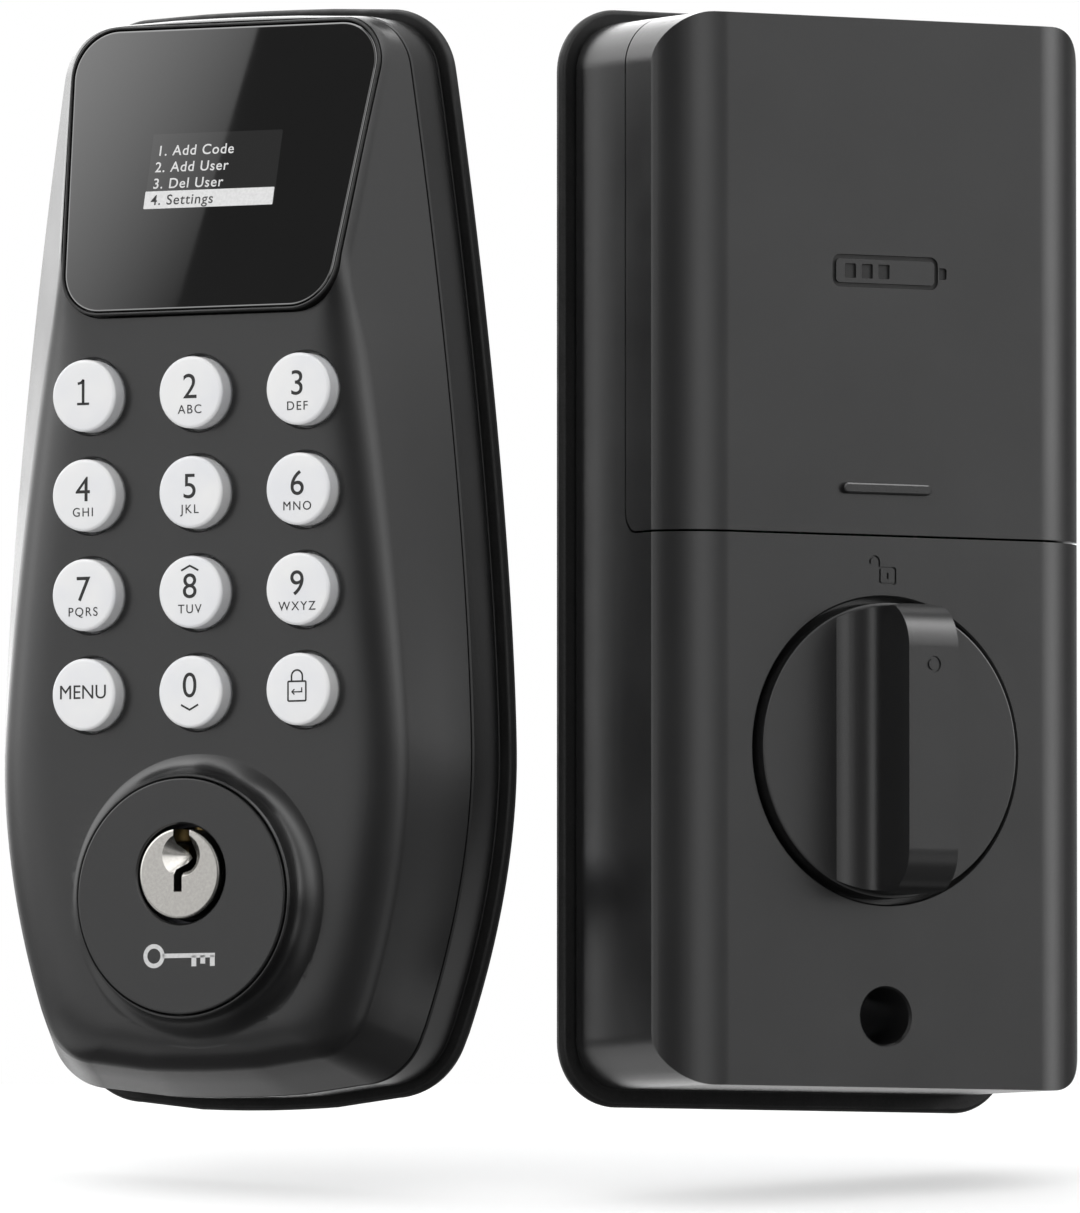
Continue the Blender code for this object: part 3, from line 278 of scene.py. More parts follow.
def solder_mask():
    """Green board with darker copper tracks under the lacquer and tiny bright pads."""
    n = Nodes("circuit_board")
    tracks = n.add("ShaderNodeTexBrick", {"Vector": n.place, "Scale": 260.0, "Mortar Size": 0.09})
    tracks.offset = 0.37
    lacquer = n.mix(tracks.outputs["Fac"], (0.006, 0.075, 0.032, 1.0), (0.012, 0.15, 0.06, 1.0))
    pads = n.add("ShaderNodeTexVoronoi", {"Vector": n.place, "Scale": 330.0})
    dots = n.between(pads.outputs["Distance"], 1.0, 0.0, frm=(0.12, 0.16))
    n.set(Base_Color=n.mix(dots, lacquer, (0.5, 0.47, 0.4, 1.0)))
    n.set(Roughness=n.between(dots, 0.42, 0.25, frm=(0.0, 1.0)))
    n.set(Normal=n.bump(tracks.outputs["Fac"], 0.3, 0.00003))
    return n.material


def moulding(name, dark, light, rough, grain, cloud, bump, specular=0.5):
    """Moulded plastic or rubber with a fine grain, and a roughness that drifts over a wider cloud."""
    n = Nodes(name)
    speckle = n.noise(grain)
    n.set(Base_Color=n.mix(n.between(speckle, 0.0, 1.0), dark, light))
    n.set(Roughness=n.between(n.noise(cloud), *rough), Specular_IOR_Level=specular)
    n.set(Normal=n.bump(speckle, *bump))
    return n.material


def cell_sleeve():
    """Printed battery sleeve: dark blue with a pale upper band."""
    n = Nodes("battery_wrap")
    height = n.add("ShaderNodeSeparateXYZ", {"Vector": n.place}).outputs["Z"]
    band_from, band_to = (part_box("cell_1")[0].z + up for up in (0.0355, 0.0360))
    band = n.between(height, 0.0, 1.0, frm=(band_from, band_to))
    sleeve = n.mix(band, (0.012, 0.035, 0.11, 1.0), (0.55, 0.56, 0.58, 1.0))
    n.set(Base_Color=n.mix(n.between(n.noise(900.0), 0.0, 0.25), sleeve, (0.02, 0.02, 0.03, 1.0)))
    n.set(Roughness=n.between(n.noise(240.0), 0.22, 0.34))
    n.set(Coat_Weight=0.3)
    return n.material


SHELL = charcoal()
RUBBER = moulding(
    "gasket_rubber", grey(0.004), grey(0.009), (0.5, 0.66), 3000.0, 400.0, (0.2, 0.00005), 0.3
)
WHITE = key_white()
LEGEND = ink("legend_black", 0.004, roughness=0.6)
PRINT = ink("printed_white", 0.55)
GLOW = ink("screen_text", 0.4, glow=0.24)
GLASS = display_glass()
SCREEN = display_glass("screen_panel", glow=0.014)
BLACK = moulding(
    "moulded_black", grey(0.005), grey(0.011), (0.42, 0.55), 2200.0, 300.0, (0.25, 0.00004), 0.3
)
NICKEL = metal("nickel", (0.40, 0.39, 0.37), 0.24, spread=0.03, scale=2600.0, depth=0.02)
BRASS = metal("brass", (0.72, 0.52, 0.22), 0.3, brush=(1.0, 12.0, 1.0))
# Painted shade: the cylinder body is made dark so the gap round the plug shows black.
SHADE_DARK_METAL = metal("zinc_darkened_for_shade", (0.06, 0.06, 0.065), 0.4)
ZINC = metal("zinc_steel", (0.55, 0.56, 0.58), 0.34, brush=(1.0, 1.0, 14.0))
BOARD = solder_mask()
SILICONE = moulding(
    "silicone", (0.22, 0.22, 0.24, 1.0), (0.27, 0.27, 0.29, 1.0),
    (0.55, 0.65), 1500.0, 200.0, (0.12, 0.00004)
)
ACETAL = moulding(
    "gear_plastic", (0.66, 0.64, 0.58, 1.0), (0.74, 0.72, 0.66, 1.0),
    (0.37, 0.47), 1500.0, 200.0, (0.12, 0.00004)
)
SLEEVE = cell_sleeve()

CAD_FINISH = (
    (BOARD, ("display_module", "main_board", "control_board")),
    (SILICONE, ("keypad_mat",)),
    (ACETAL, ("cable_socket", "drive_gear", "idler_gear", "motor_pinion")),
    (BLACK, ("rear_chassis", "sounder", "battery_tray")),
    (SHADE_DARK_METAL, ("cylinder_body",)),
    (NICKEL, ("contact_strip_low", "contact_strip_high")),
    (SLEEVE, [f"cell_{i}" for i in (1, 2, 3, 4)]),
    (ZINC, [f"case_screw_{i}" for i in (1, 2, 3, 4)]),
    (ZINC, ("bolt_post_left", "bolt_post_right", "plug_cap", "tailpiece", "usb_port", "mounting_plate")),
    (ZINC, ("spindle_hub", "idler_pin", "gearmotor", "gear_bracket", "fixing_screw")),
)


def dress_cad_nodes():
    """Gives each CAD node that stays in view its finish."""
    for finish, names in CAD_FINISH:
        for name in names:
            for place in frame["nodes"][name].material_slots:
                place.material = finish


# ---------------------------------------------------------------- mesh helpers


def mesh_of(points, faces):
    made = bpy.data.meshes.new("mesh")
    work = bmesh.new()
    corners = [work.verts.new(p) for p in points]
    for face in faces:
        work.faces.new([corners[i] for i in face])
    bmesh.ops.recalc_face_normals(work, faces=work.faces)
    work.to_mesh(made)
    work.free()
    return made


def band_faces(count, lower, upper):
    """Four-sided faces between two rings of count points, given by their first points."""
    faces = []
    for i in range(count):
        j = (i + 1) % count
        faces.append((lower + i, lower + j, upper + j, upper + i))
    return faces


def loft(rings, capped=True):
    """A skin over rings of points, closed by flat ends or, uncapped, back onto the first ring."""
    count, last = len(rings[0]), len(rings) - 1
    faces = []
    for r in range(last if capped else last + 1):
        faces += band_faces(count, r * count, (r + 1) % len(rings) * count)
    if capped:
        faces.append(tuple(range(count)))
        faces.append(tuple(range(last * count, len(rings) * count)))
    return mesh_of([p for ring in rings for p in ring], faces)


def lathe(profile, centre=(0.0, 0.0), segments=96, ring=False):
    """Turns (radius, y) pairs about the line through centre along Y."""
    turns = [2 * math.pi * i / segments for i in range(segments)]
    x, z = centre
    rings = [[(x + r * math.cos(a), y, z + r * math.sin(a)) for a in turns] for r, y in profile]
    return loft(rings, capped=not ring)


def cylinder(radius, low, high, centre, segments):
    return lathe([(radius, low), (radius, high)], centre, segments)


def prism(outline, low, high):
    """An (x, z) outline pushed along Y."""
    return loft([[(x, y, z) for x, z in outline] for y in (low, high)])


def push_along_x(outline, low, high, lift=0.0):
    """A (y, z) outline pushed along X and lifted."""
    return loft([[(x, y, z + lift) for y, z in outline] for x in (low, high)])


def push_along_z(outline, low, high):
    """An (x, y) outline pushed along Z."""
    return loft([[(x, y, z) for x, y in outline] for z in (low, high)])


def arc(centre, radius, start, end, steps):
    """Points round part of a circle, with its angles in degrees."""
    found = []
    for i in range(steps + 1):
        a = math.radians(start + (end - start) * i / steps)
        found.append((centre[0] + radius * math.cos(a), centre[1] + radius * math.sin(a)))
    return found


def fillet(corner, before, after, radius, steps):
    """Points of the arc that rounds a corner between the two points beside it."""
    corner, before, after = Vector(corner), Vector(before), Vector(after)
    a, b = (before - corner).normalized(), (after - corner).normalized()
    half = a.angle(b) / 2
    centre = corner + (a + b).normalized() * radius / math.sin(half)
    start = corner + a * radius / math.tan(half) - centre
    turn = start.angle_signed(corner + b * radius / math.tan(half) - centre)
    return [tuple(centre + Matrix.Rotation(-turn * i / steps, 2) @ start) for i in range(steps + 1)]


def rounded(corners, steps):
    """Softens each (u, v, radius) corner of an outline. A radius of 0 keeps the corner sharp."""
    found = []
    for i, (u, v, radius) in enumerate(corners):
        if radius:
            after = corners[(i + 1) % len(corners)]
            found += fillet((u, v), corners[i - 1][:2], after[:2], radius, steps)
        else:
            found.append((u, v))
    return found


def rounded_box(half, low, high, radius, steps=8):
    corners = [(half, low, radius), (half, high, radius), (-half, high, radius), (-half, low, radius)]
    return rounded(corners, steps=steps)


def normals_of(outline):
    found = []
    for i in range(len(outline)):
        along = Vector(outline[(i + 1) % len(outline)]) - Vector(outline[i - 1])
        found.append(Vector((along.y, -along.x)).normalized())
    return found


def grown(outline, by):
    """The outline pushed outwards by a width."""
    return [(x + n.x * by, z + n.y * by) for (x, z), n in zip(outline, normals_of(outline))]


def section_rings(outline, section):
    """A (grow, y) section as one ring of points round an outline for each of its points."""
    return [[(x, y, z) for x, z in grown(outline, by)] for by, y in section]


def linked(name, data):
    """A new object in the scene."""
    made = bpy.data.objects.new(name, data)
    bpy.context.scene.collection.objects.link(made)
    return made


def taken_mesh(thing):
    """The mesh that an object shows, modifiers and all. The object is removed."""
    bpy.context.view_layer.update()
    shown = thing.evaluated_get(bpy.context.evaluated_depsgraph_get())
    result = bpy.data.meshes.new_from_object(shown)
    bpy.data.objects.remove(thing)
    return result


def shape(mesh, *steps):
    """Applies ("cut" | "join" | "keep", mesh) steps to a mesh and returns the result."""
    base = linked("base", mesh)
    tools = []
    for kind, other in steps:
        tool = linked("tool", other)
        change = base.modifiers.new(kind, "BOOLEAN")
        change.operation = {"cut": "DIFFERENCE", "join": "UNION", "keep": "INTERSECT"}[kind]
        change.solver = "EXACT"
        change.object = tool
        tools.append(tool)
    result = taken_mesh(base)
    for tool in tools:
        bpy.data.objects.remove(tool)
    return result


def bevelled(mesh, width, segments, angle):
    """Rounds the mesh's edges that turn by more than an angle in degrees."""
    base = linked("base", mesh)
    change = base.modifiers.new("bevel", "BEVEL")
    change.width = width
    change.segments = segments
    change.limit_method = "ANGLE"
    change.angle_limit = math.radians(angle)
    change.use_clamp_overlap = True
    return taken_mesh(base)


def piece(name, mesh, finish, unit, body, stands_for=(), sharp=32.0):
    """Puts a mesh drawn in a unit's millimetres into the scene, riding on a body."""
    mesh.transform(unit @ Matrix.Scale(MM, 4))
    made = linked(name, mesh)
    mesh.materials.clear()
    mesh.materials.append(finish)
    mesh.shade_smooth()
    mesh.set_sharp_from_angle(angle=math.radians(sharp))
    even = made.modifiers.new("even_normals", "WEIGHTED_NORMAL")
    even.keep_sharp = True
    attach(made, body)
    if stands_for:
        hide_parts(*stands_for)


def lettering(words, size, depth, align="CENTER", spacing=1.0, thicker=0.0):
    """Words as a mesh in unit millimetres, facing -Y, standing on z = 0."""
    curve = bpy.data.curves.new("words", "FONT")
    curve.body = words
    curve.size = size
    curve.align_x = align
    curve.space_character = spacing
    curve.offset = thicker
    curve.extrude = depth / 2
    mesh = taken_mesh(linked("words", curve))
    mesh.transform(Matrix.Rotation(math.pi / 2, 4, "X"))
    return mesh


def ribbon(path, width, low, high, closed=False):
    """A stroke of even width along an (x, z) path, with mitred corners, between two depths."""
    points = [Vector(p) for p in path]
    count = len(points)
    left, right = [], []
    for i, here in enumerate(points):
        before = points[i - 1] if closed or i else None
        after = points[(i + 1) % count] if closed or i < count - 1 else None
        d1 = (here - before).normalized() if before is not None else (after - here).normalized()
        d2 = (after - here).normalized() if after is not None else d1
        along = (d1 + d2).normalized()
        side = Vector((-along.y, along.x))
        reach = width / 2 / max(0.35, along.dot(d1))
        left.append(here + side * reach)
        right.append(here - side * reach)
    rings = []
    for a, b in zip(left, right):
        rings.append([(a.x, low, a.y), (b.x, low, b.y), (b.x, high, b.y), (a.x, high, a.y)])
    return loft(rings, capped=not closed)


def merged(meshes):
    """The meshes as one."""
    work = bmesh.new()
    for mesh in meshes:
        work.from_mesh(mesh)
    made = bpy.data.meshes.new("merged")
    work.to_mesh(made)
    work.free()
    return made


def moved(mesh, x=0.0, y=0.0, z=0.0):
    mesh.transform(Matrix.Translation((x, y, z)))
    return mesh


# ---------------------------------------------------------------- outside unit


def side_half_width(z):
    """Half of the outside unit's width, which is greatest at the belly."""
    reach = z - BELLY_Z
    factor, power = UPPER_SIDE if reach > 0 else LOWER_SIDE
    return BELLY_HALF - factor * abs(reach) ** power


def outside_outline():
    """The outside unit's outline, from the middle of its foot round and back."""
    foot_x = side_half_width(OUT_BOTTOM + 2.0) - 0.6
    head_x = side_half_width(OUT_TOP)
    low_aim, high_aim = 12.0, 143.0

    def floor_z(x):
        return OUT_BOTTOM + x * x / (2 * BOTTOM_CROWN_R)

    def roof_z(x):
        return OUT_TOP - x * x / (2 * TOP_CROWN_R)

    low_corner = (foot_x + 0.4, floor_z(foot_x))
    high_corner = (head_x, roof_z(head_x))
    low = fillet(low_corner, (0, OUT_BOTTOM + 0.6), (side_half_width(low_aim), low_aim), BOTTOM_CORNER_R, 20)
    high = fillet(high_corner, (side_half_width(high_aim), high_aim), (0, OUT_TOP), TOP_CORNER_R, 18)
    start, end = low[-1][1] + 1.6, high[0][1] - 1.6
    steps = 76
    heights = [start + (end - start) * i / steps for i in range(steps + 1)]
    side = [(side_half_width(z), z) for z in heights]
    floor = [(x, floor_z(x)) for x in (3.5, 7.0, 10.5)]
    roof = [(x, roof_z(x)) for x in (10.0, 6.5, 3.0)]
    right = floor + low + side + high + roof
    return [(0.0, OUT_BOTTOM)] + right + [(0.0, OUT_TOP)] + [(-x, z) for x, z in reversed(right)]


OUT_OUTLINE = outside_outline()


def display_y(z):
    """The leaning display plane."""
    return FACE_Y + LEAN * (z - BEND_Z)


def face_y(z):
    """The front face: upright keypad, short soft bend, leaning display."""
    past = z - BEND_Z
    if past > BEND_SOFT:
        return display_y(z)
    if past < -BEND_SOFT:
        return FACE_Y
    return FACE_Y + LEAN * (past + BEND_SOFT) ** 2 / (4 * BEND_SOFT)


def eased(value, low, high):
    share = min(1.0, max(0.0, (value - low) / (high - low)))
    return share * share * (3 - 2 * share)


def mixed(first, second, share):
    return [a + (b - a) * share for a, b in zip(first, second)]


def flank_profile(height, slope, fold, steps):
    """(inset, rise) pairs up a straight flank, over the crease and along the long soft fold."""
    depth, reach, power = fold
    depth = min(depth, CREASE_SHARE * height)
    foot = height - depth
    crease = slope * foot
    found = [(0.12, 0.0), (slope * 0.14, 0.14), (crease * 0.5, foot * 0.5)]
    found.append((slope * (foot - CREASE_EDGE * depth / 2), foot - CREASE_EDGE * depth / 2))
    for i in range(steps + 1):
        along = CREASE_EDGE / 5 + (1 - CREASE_EDGE / 5) * i / steps
        found.append((crease + reach * along, height - depth * (1 - along) ** power))
    return found


def shell_rings(outline, wall, steps):
    """Rings up the shell's flanks, folds and ends, from the seam to the face."""
    normals = normals_of(outline)
    low, high = min(z for _, z in outline), max(z for _, z in outline)
    at_bottom = flank_profile(PART_Y - face_y(low) - wall, END_SLOPE, BOTTOM_FOLD, steps)
    at_top = flank_profile(PART_Y - face_y(high) - wall, END_SLOPE, TOP_FOLD, steps)
    rings = [[] for _ in at_bottom]
    for (x, z), n in zip(outline, normals):
        up = (z - low) / (high - low)
        face_z = z + at_bottom[-1][0] * (1 - up) - at_top[-1][0] * up
        height = PART_Y - face_y(face_z) - wall
        slope = min(FLANK_MOST, FLANK_SLOPE + FLANK_GAIN * z)
        fold = mixed(KEYPAD_FOLD, DISPLAY_FOLD, eased(z, *FOLD_CHANGE))
        side = flank_profile(height, slope, fold, steps)
        end = flank_profile(height, END_SLOPE, BOTTOM_FOLD if up < 0.5 else TOP_FOLD, steps)
        for k, ring in enumerate(rings):
            ring_z = z + at_bottom[k][0] * (1 - up) - at_top[k][0] * up
            rise = side[k][1] * n.x**2 + end[k][1] * n.y**2
            ring.append((x * (1 - side[k][0] / side_half_width(z)), PART_Y - rise, ring_z))
    return rings


def mirrored_caps(start, count):
    """Faces across a ring that mirrors left to right, in level strips."""
    middle = count // 2
    faces = [(start, start + 1, start + count - 1)]
    for i in range(1, middle - 1):
        faces.append((start + i, start + i + 1, start + count - i - 1, start + count - i))
    faces.append((start + middle - 1, start + middle, start + middle + 1))
    return faces


def shell_solid():
    """The front shell with its hollow, before any opening is cut."""
    steps, roof_thick = 14, 8.0
    shorter = (OUT_TOP - roof_thick) / OUT_TOP
    inner_outline = [(x, z * shorter) for x, z in grown(OUT_OUTLINE, -WALL)]
    rings = list(reversed(shell_rings(inner_outline, WALL, steps))) + shell_rings(OUT_OUTLINE, 0.0, steps)
    count, last = len(OUT_OUTLINE), len(rings) - 1
    faces = []
    for r in range(last):
        faces += band_faces(count, r * count, (r + 1) * count)
    faces += mirrored_caps(0, count)
    faces += mirrored_caps(last * count, count)
    return mesh_of([p for ring in rings for p in ring], faces)


def key_places():
    names = ("1", "2", "3", "4", "5", "6", "7", "8", "9", "menu", "0", "lock")
    found = []
    for i, name in enumerate(names):
        x = (i % 3 - 1) * KEY_PITCH_X
        found.append(("key_" + name, x, KEY_TOP_ROW_Z - i // 3 * KEY_PITCH_Z))
    return found


def glass_outline(grow=0.0):
    """The display glass's outline, wider at the top, on the upright (x, z) plane."""
    top, bottom = GLASS_TOP_Z + grow, GLASS_BOTTOM_Z - grow
    wide, narrow, radius = GLASS_TOP_HALF + grow, GLASS_BOTTOM_HALF + grow, GLASS_R + grow
    corners = [(-narrow, bottom), (narrow, bottom), (wide, top), (-wide, top)]
    return rounded([(x, z, radius) for x, z in corners], steps=14)


def on_lean(outline, depth):
    """Outline points laid on the leaning display plane, depth in mm behind it."""
    return [(x, display_y(z) + depth, z) for x, z in outline]


def on_face(outline, depth):
    """Outline points laid on the shell's face, which the display plane leaves below the bend."""
    return [(x, face_y(z) + depth, z) for x, z in outline]


def make_front_shell():
    """Shell with its boss, collar well, key openings and display pocket."""
    sunk = 0.12
    foot, top = FACE_Y + sunk, FACE_Y - BOSS_PROUD
    rim_r = BOSS_TOP_R + sunk + BOSS_FLARE_R
    flare = [(rim_r + 0.1, foot + 1.0), (rim_r + 0.1, foot)]
    flare += arc((rim_r, foot - BOSS_FLARE_R), BOSS_FLARE_R, 90, 178, 16)
    flare += [(BOSS_TOP_R + sunk, top + 0.25), (BOSS_TOP_R - 0.05, top)]
    well_floor, well_r, bore_r = FACE_Y - 1.2, COLLAR_R + 0.14, 9.8
    well = [(well_r + 0.2, top - 0.05), (well_r, top + 0.15), (well_r, well_floor)]
    steps = [
        ("join", lathe(flare, (0.0, CYLINDER_Z), 160)),
        ("cut", lathe(well, (0.0, CYLINDER_Z), 128)),
        ("cut", cylinder(bore_r, well_floor - 0.5, PART_Y + 1, (0.0, PLUG_Z), 64)),
    ]
    hole_r = KEY_R + KEY_GAP
    hole = [(hole_r + 0.35, FACE_Y - 0.1), (hole_r, FACE_Y + 0.2), (hole_r, FACE_Y + WALL + 1)]
    steps += [("cut", lathe(hole, (x, z), 64)) for _, x, z in key_places()]
    outline = glass_outline(BEZEL_WIDTH + POCKET_GAP)
    wider = grown(outline, 0.2)
    pocket = [on_face(wider, -5.0), on_face(wider, -0.1)]
    pocket += [on_face(outline, 0.15), on_face(outline, POCKET_DEPTH)]
    steps.append(("cut", loft(pocket)))
    shell = shape(shell_solid(), *steps)
    piece("shell_skin", shell, SHELL, OUTSIDE, "case", ["front_shell"], sharp=28.0)


def make_rear_case():
    """Band and back panel behind the seam, with the openings that the mechanism needs."""
    seam_y, floor_y = PART_Y + BAND_SEAM, CASE_BACK_Y - PANEL_THICK
    before, past = floor_y - 1, CASE_BACK_Y + 1
    section = [(-0.5, CASE_BACK_Y), (-0.15, CASE_BACK_Y - 0.12), (0.0, CASE_BACK_Y - 0.5)]
    section += [(0.0, (seam_y + CASE_BACK_Y) / 2), (0.0, seam_y + 0.25), (-0.2, seam_y)]
    section += [(-WALL, seam_y), (-WALL, floor_y)]
    pin_stack = rounded_box(5.1, PLUG_Z + 8, PLUG_Z + 16.1, 0.3, 3)
    cable = rounded_box(CABLE_SLOT_HALF, CABLE_SLOT_LOW, CABLE_SLOT_HIGH, CABLE_SLOT_HALF / 2)
    usb = arc((USB_HALF, USB_Y), USB_R, -90, 90, 10) + arc((-USB_HALF, USB_Y), USB_R, 90, 270, 10)
    steps = [
        ("cut", cylinder(PLUG_HOLE_R, before, past, (0.0, PLUG_Z), 64)),
        ("cut", prism(pin_stack, before, past)),
        ("cut", prism(cable, before, past)),
        ("cut", push_along_z(usb, -2.0, 6.0)),
    ]
    seat = CASE_BACK_Y - CASE_SCREW_SINK
    sink = [(CASE_SCREW_R, before), (CASE_SCREW_R, seat)]
    sink += [(CASE_SCREW_HEAD_R, seat), (CASE_SCREW_HEAD_R, past)]
    steps += [("cut", lathe(sink, (side * x, z), 32)) for x, z in CASE_SCREWS for side in (-1, 1)]
    for x in (-BOLT_X, BOLT_X):
        steps.append(("cut", cylinder(BOLT_HOLE_R, before, past, (x, PLUG_Z), 40)))
    case = shape(loft(section_rings(OUT_OUTLINE, section)), *steps)
    piece("rear_band", case, SHELL, OUTSIDE, "case", ["rear_case"])


def gasket_section(overhang, inner):
    """Soft lip outside, a groove where the case sits, flat against the door."""
    corners = [
        (inner, -2.0, 0.3),
        (-0.9, -2.0, 0.2),
        (-0.5, -1.45, 0.2),
        (overhang - 0.4, -1.7, 0.5),
        (overhang, -0.9, 0.5),
        (overhang - 0.15, 0.0, 0.2),
        (inner, 0.0, 0.3),
    ]
    return rounded(corners, steps=4)


def make_gaskets():
    """The seal behind each unit."""
    outside = loft(section_rings(OUT_OUTLINE, gasket_section(1.6, -4.5)), capped=False)
    piece("outside_seal", outside, RUBBER, OUTSIDE, "case", ["outside_gasket"])
    inside = loft(section_rings(inside_outline(steps=20), gasket_section(2.0, -4.0)), capped=False)
    piece("inside_seal", inside, RUBBER, INSIDE, "case", ["inside_gasket"])


def make_display():
    """Glass pane with an eased edge, and the thin ridge that frames it."""
    back = POCKET_DEPTH - 0.25
    pane = glass_outline()
    edge = ((-0.3, 0.02), (-0.12, 0.05), (-0.02, 0.14), (0.0, 0.26), (0.0, back))
    rings = [on_lean(grown(pane, by), depth) for by, depth in edge]
    piece("display_pane", loft(rings), GLASS, OUTSIDE, "case", ["display_glass"])

    inner, middle, outer = glass_outline(0.14), glass_outline(0.36), glass_outline(BEZEL_WIDTH)
    ridge = [on_lean(inner, back), on_lean(inner, 0.12), on_lean(grown(inner, 0.06), 0.0)]
    ridge += [on_lean(middle, -0.06), on_lean(grown(outer, -0.08), 0.02), on_lean(outer, 0.16)]
    ridge += [on_face(outer, back)]
    rim = loft(ridge, capped=False)
    piece("display_rim", rim, BLACK, OUTSIDE, "case", ["display_bezel"])


def laid_on_glass(mesh, z, lift):
    """Tips an upright mesh, drawn about its own z = 0, onto the display plane at height z."""
    mesh.transform(Matrix.Rotation(-math.atan(LEAN), 4, "X"))
    return moved(mesh, y=display_y(z) + lift, z=z)


MENU_LINES = ("1. Add Code", "2. Add User", "3. Del User", "4. Settings")


def make_screen():
    """Small menu screen on the glass: four lines, the last one picked out by a bright bar."""
    half, foot, head = SCREEN_HALF, -SCREEN_TALL / 2, SCREEN_TALL / 2
    surface, bar_tall, pitch = 0.005, 2.55, SCREEN_TALL / 4 * 0.88
    panel = moved(prism(rounded_box(half, foot, head, 0.15, 3), -0.01, 0.01), x=SCREEN_X)
    panel = laid_on_glass(panel, SCREEN_Z, surface)
    piece("screen_panel", panel, SCREEN, OUTSIDE, "case")

    bar = moved(prism(rounded_box(half, foot, foot + bar_tall, 0.1, 2), -0.012, 0.01), x=SCREEN_X - 0.12)
    bar = laid_on_glass(bar, SCREEN_Z, surface - 0.01)
    piece("screen_bar", bar, GLOW, OUTSIDE, "case")
    lines = []
    for i, text in enumerate(MENU_LINES):
        line = lettering(text, 2.1, 0.01, align="LEFT", spacing=1.12, thicker=0.015)
        above = len(MENU_LINES) - 1 - i
        lines.append(moved(line, x=-half + 0.9 + SCREEN_X, z=foot + 0.55 + above * pitch))
    lit = laid_on_glass(merged(lines[:-1]), SCREEN_Z, surface - 0.02)
    piece("screen_lines", lit, GLOW, OUTSIDE, "case")
    dark = laid_on_glass(lines[-1], SCREEN_Z, surface - 0.034)
    piece("screen_picked_line", dark, LEGEND, OUTSIDE, "case")


def key_cap_mesh():
    """Flat-topped round cap with a rolled edge, a retaining flange and a foot."""
    front, top_r = -KEY_PROUD, KEY_R - KEY_EDGE_R
    profile = [(0.2, front - KEY_CROWN)]
    profile += [(r, front - KEY_CROWN * (1 - (r / top_r) ** 2)) for r in (1.4, 2.8)]
    profile += arc((top_r, front + KEY_EDGE_R), KEY_EDGE_R, -90, 0, 10)
    flange_r, start, ease = KEY_R + FLANGE_WIDTH, WALL + KEY_GAP, 0.1
    end = start + FLANGE_THICK
    profile += [(KEY_R, start), (flange_r - ease, start), (flange_r, start + ease)]
    profile += [(flange_r, end - ease), (flange_r - ease, end), (1.8, end), (1.8, KEY_FOOT)]
    return lathe(profile)


# The letters under each digit, from 0 to 9.
LETTERS = ("", "", "ABC", "DEF", "GHI", "JKL", "MNO", "PQRS", "TUV", "WXYZ")


def legend_mesh(name):
    """The print on one key, about the key's centre."""
    front = -KEY_PROUD - KEY_CROWN
    low, high = front - 0.02, front + 0.04

    def printed(words, size, z, spacing=1.0):
        return moved(lettering(words, size, PRINT_DEPTH, spacing=spacing), y=front + 0.01, z=z)

    def stroke(path, width, closed=False):
        return ribbon(path, width, low, high, closed)

    if name == "key_menu":
        return printed("MENU", WORD_SIZE, -0.6)
    if name == "key_lock":
        body = stroke(rounded_box(1.4, -1.65, 1.05, 0.15, 3), 0.24, closed=True)
        shackle = stroke([(-0.85, 1.0)] + arc((0.0, 1.75), 0.85, 180, 0, 16) + [(0.85, 1.0)], 0.24)
        enter = stroke([(0.75, 0.2), (0.75, -0.4), (-0.75, -0.4)], 0.18)
        return merged([body, shackle, enter, stroke([(-0.4, -0.03), (-0.78, -0.4), (-0.4, -0.77)], 0.18)])
    if name == "key_1":
        stem = stroke([(0.0, -1.15), (0.0, 2.2)], 0.42)
        flag = stroke([(-0.85, 1.65), (-0.3, 1.8), (0.1, 2.2)], 0.36)
        return merged([stem, flag, stroke([(-0.95, -1.15), (0.95, -1.15)], 0.34)])
    digit = name[-1]
    letters = LETTERS[int(digit)]
    marks = [printed(digit, DIGIT_SIZE, -0.85 if letters else -0.75)]
    if name == "key_0":
        marks.append(stroke([(-1.35, -1.8), (0.0, -2.5), (1.35, -1.8)], 0.26))
    if name == "key_8":
        marks.append(stroke([(-1.35, 2.95), (0.0, 3.6), (1.35, 2.95)], 0.26))
    if letters:
        marks.append(printed(letters, LETTER_SIZE, -2.95, spacing=1.22))
    return merged(marks)


def make_keys():
    for name, x, z in key_places():
        at = OUTSIDE @ Matrix.Translation(Vector((x, FACE_Y, z)) * MM)
        piece(name + "_cap", key_cap_mesh(), WHITE, at, name, [name])
        piece(name + "_print", legend_mesh(name), LEGEND, at, name)


def keyway_outline():
    """Crooked key slot: open at the plug's top, jogging right past the dimple, ending below centre."""
    right = [(0.4, -2.5), (0.4, 0.1), (1.5, 0.4), (2.3, 1.2), (2.4, 2.4), (1.8, 3.4), (1.6, 4.2), (1.6, 8.0)]
    left = [(-0.95, 8.0), (-0.95, 4.2), (-0.1, 3.3), (0.9, 2.2), (0.3, 1.4), (-0.85, 0.6), (-0.85, -2.5)]
    return [(x, PLUG_Z + z) for x, z in right + left]


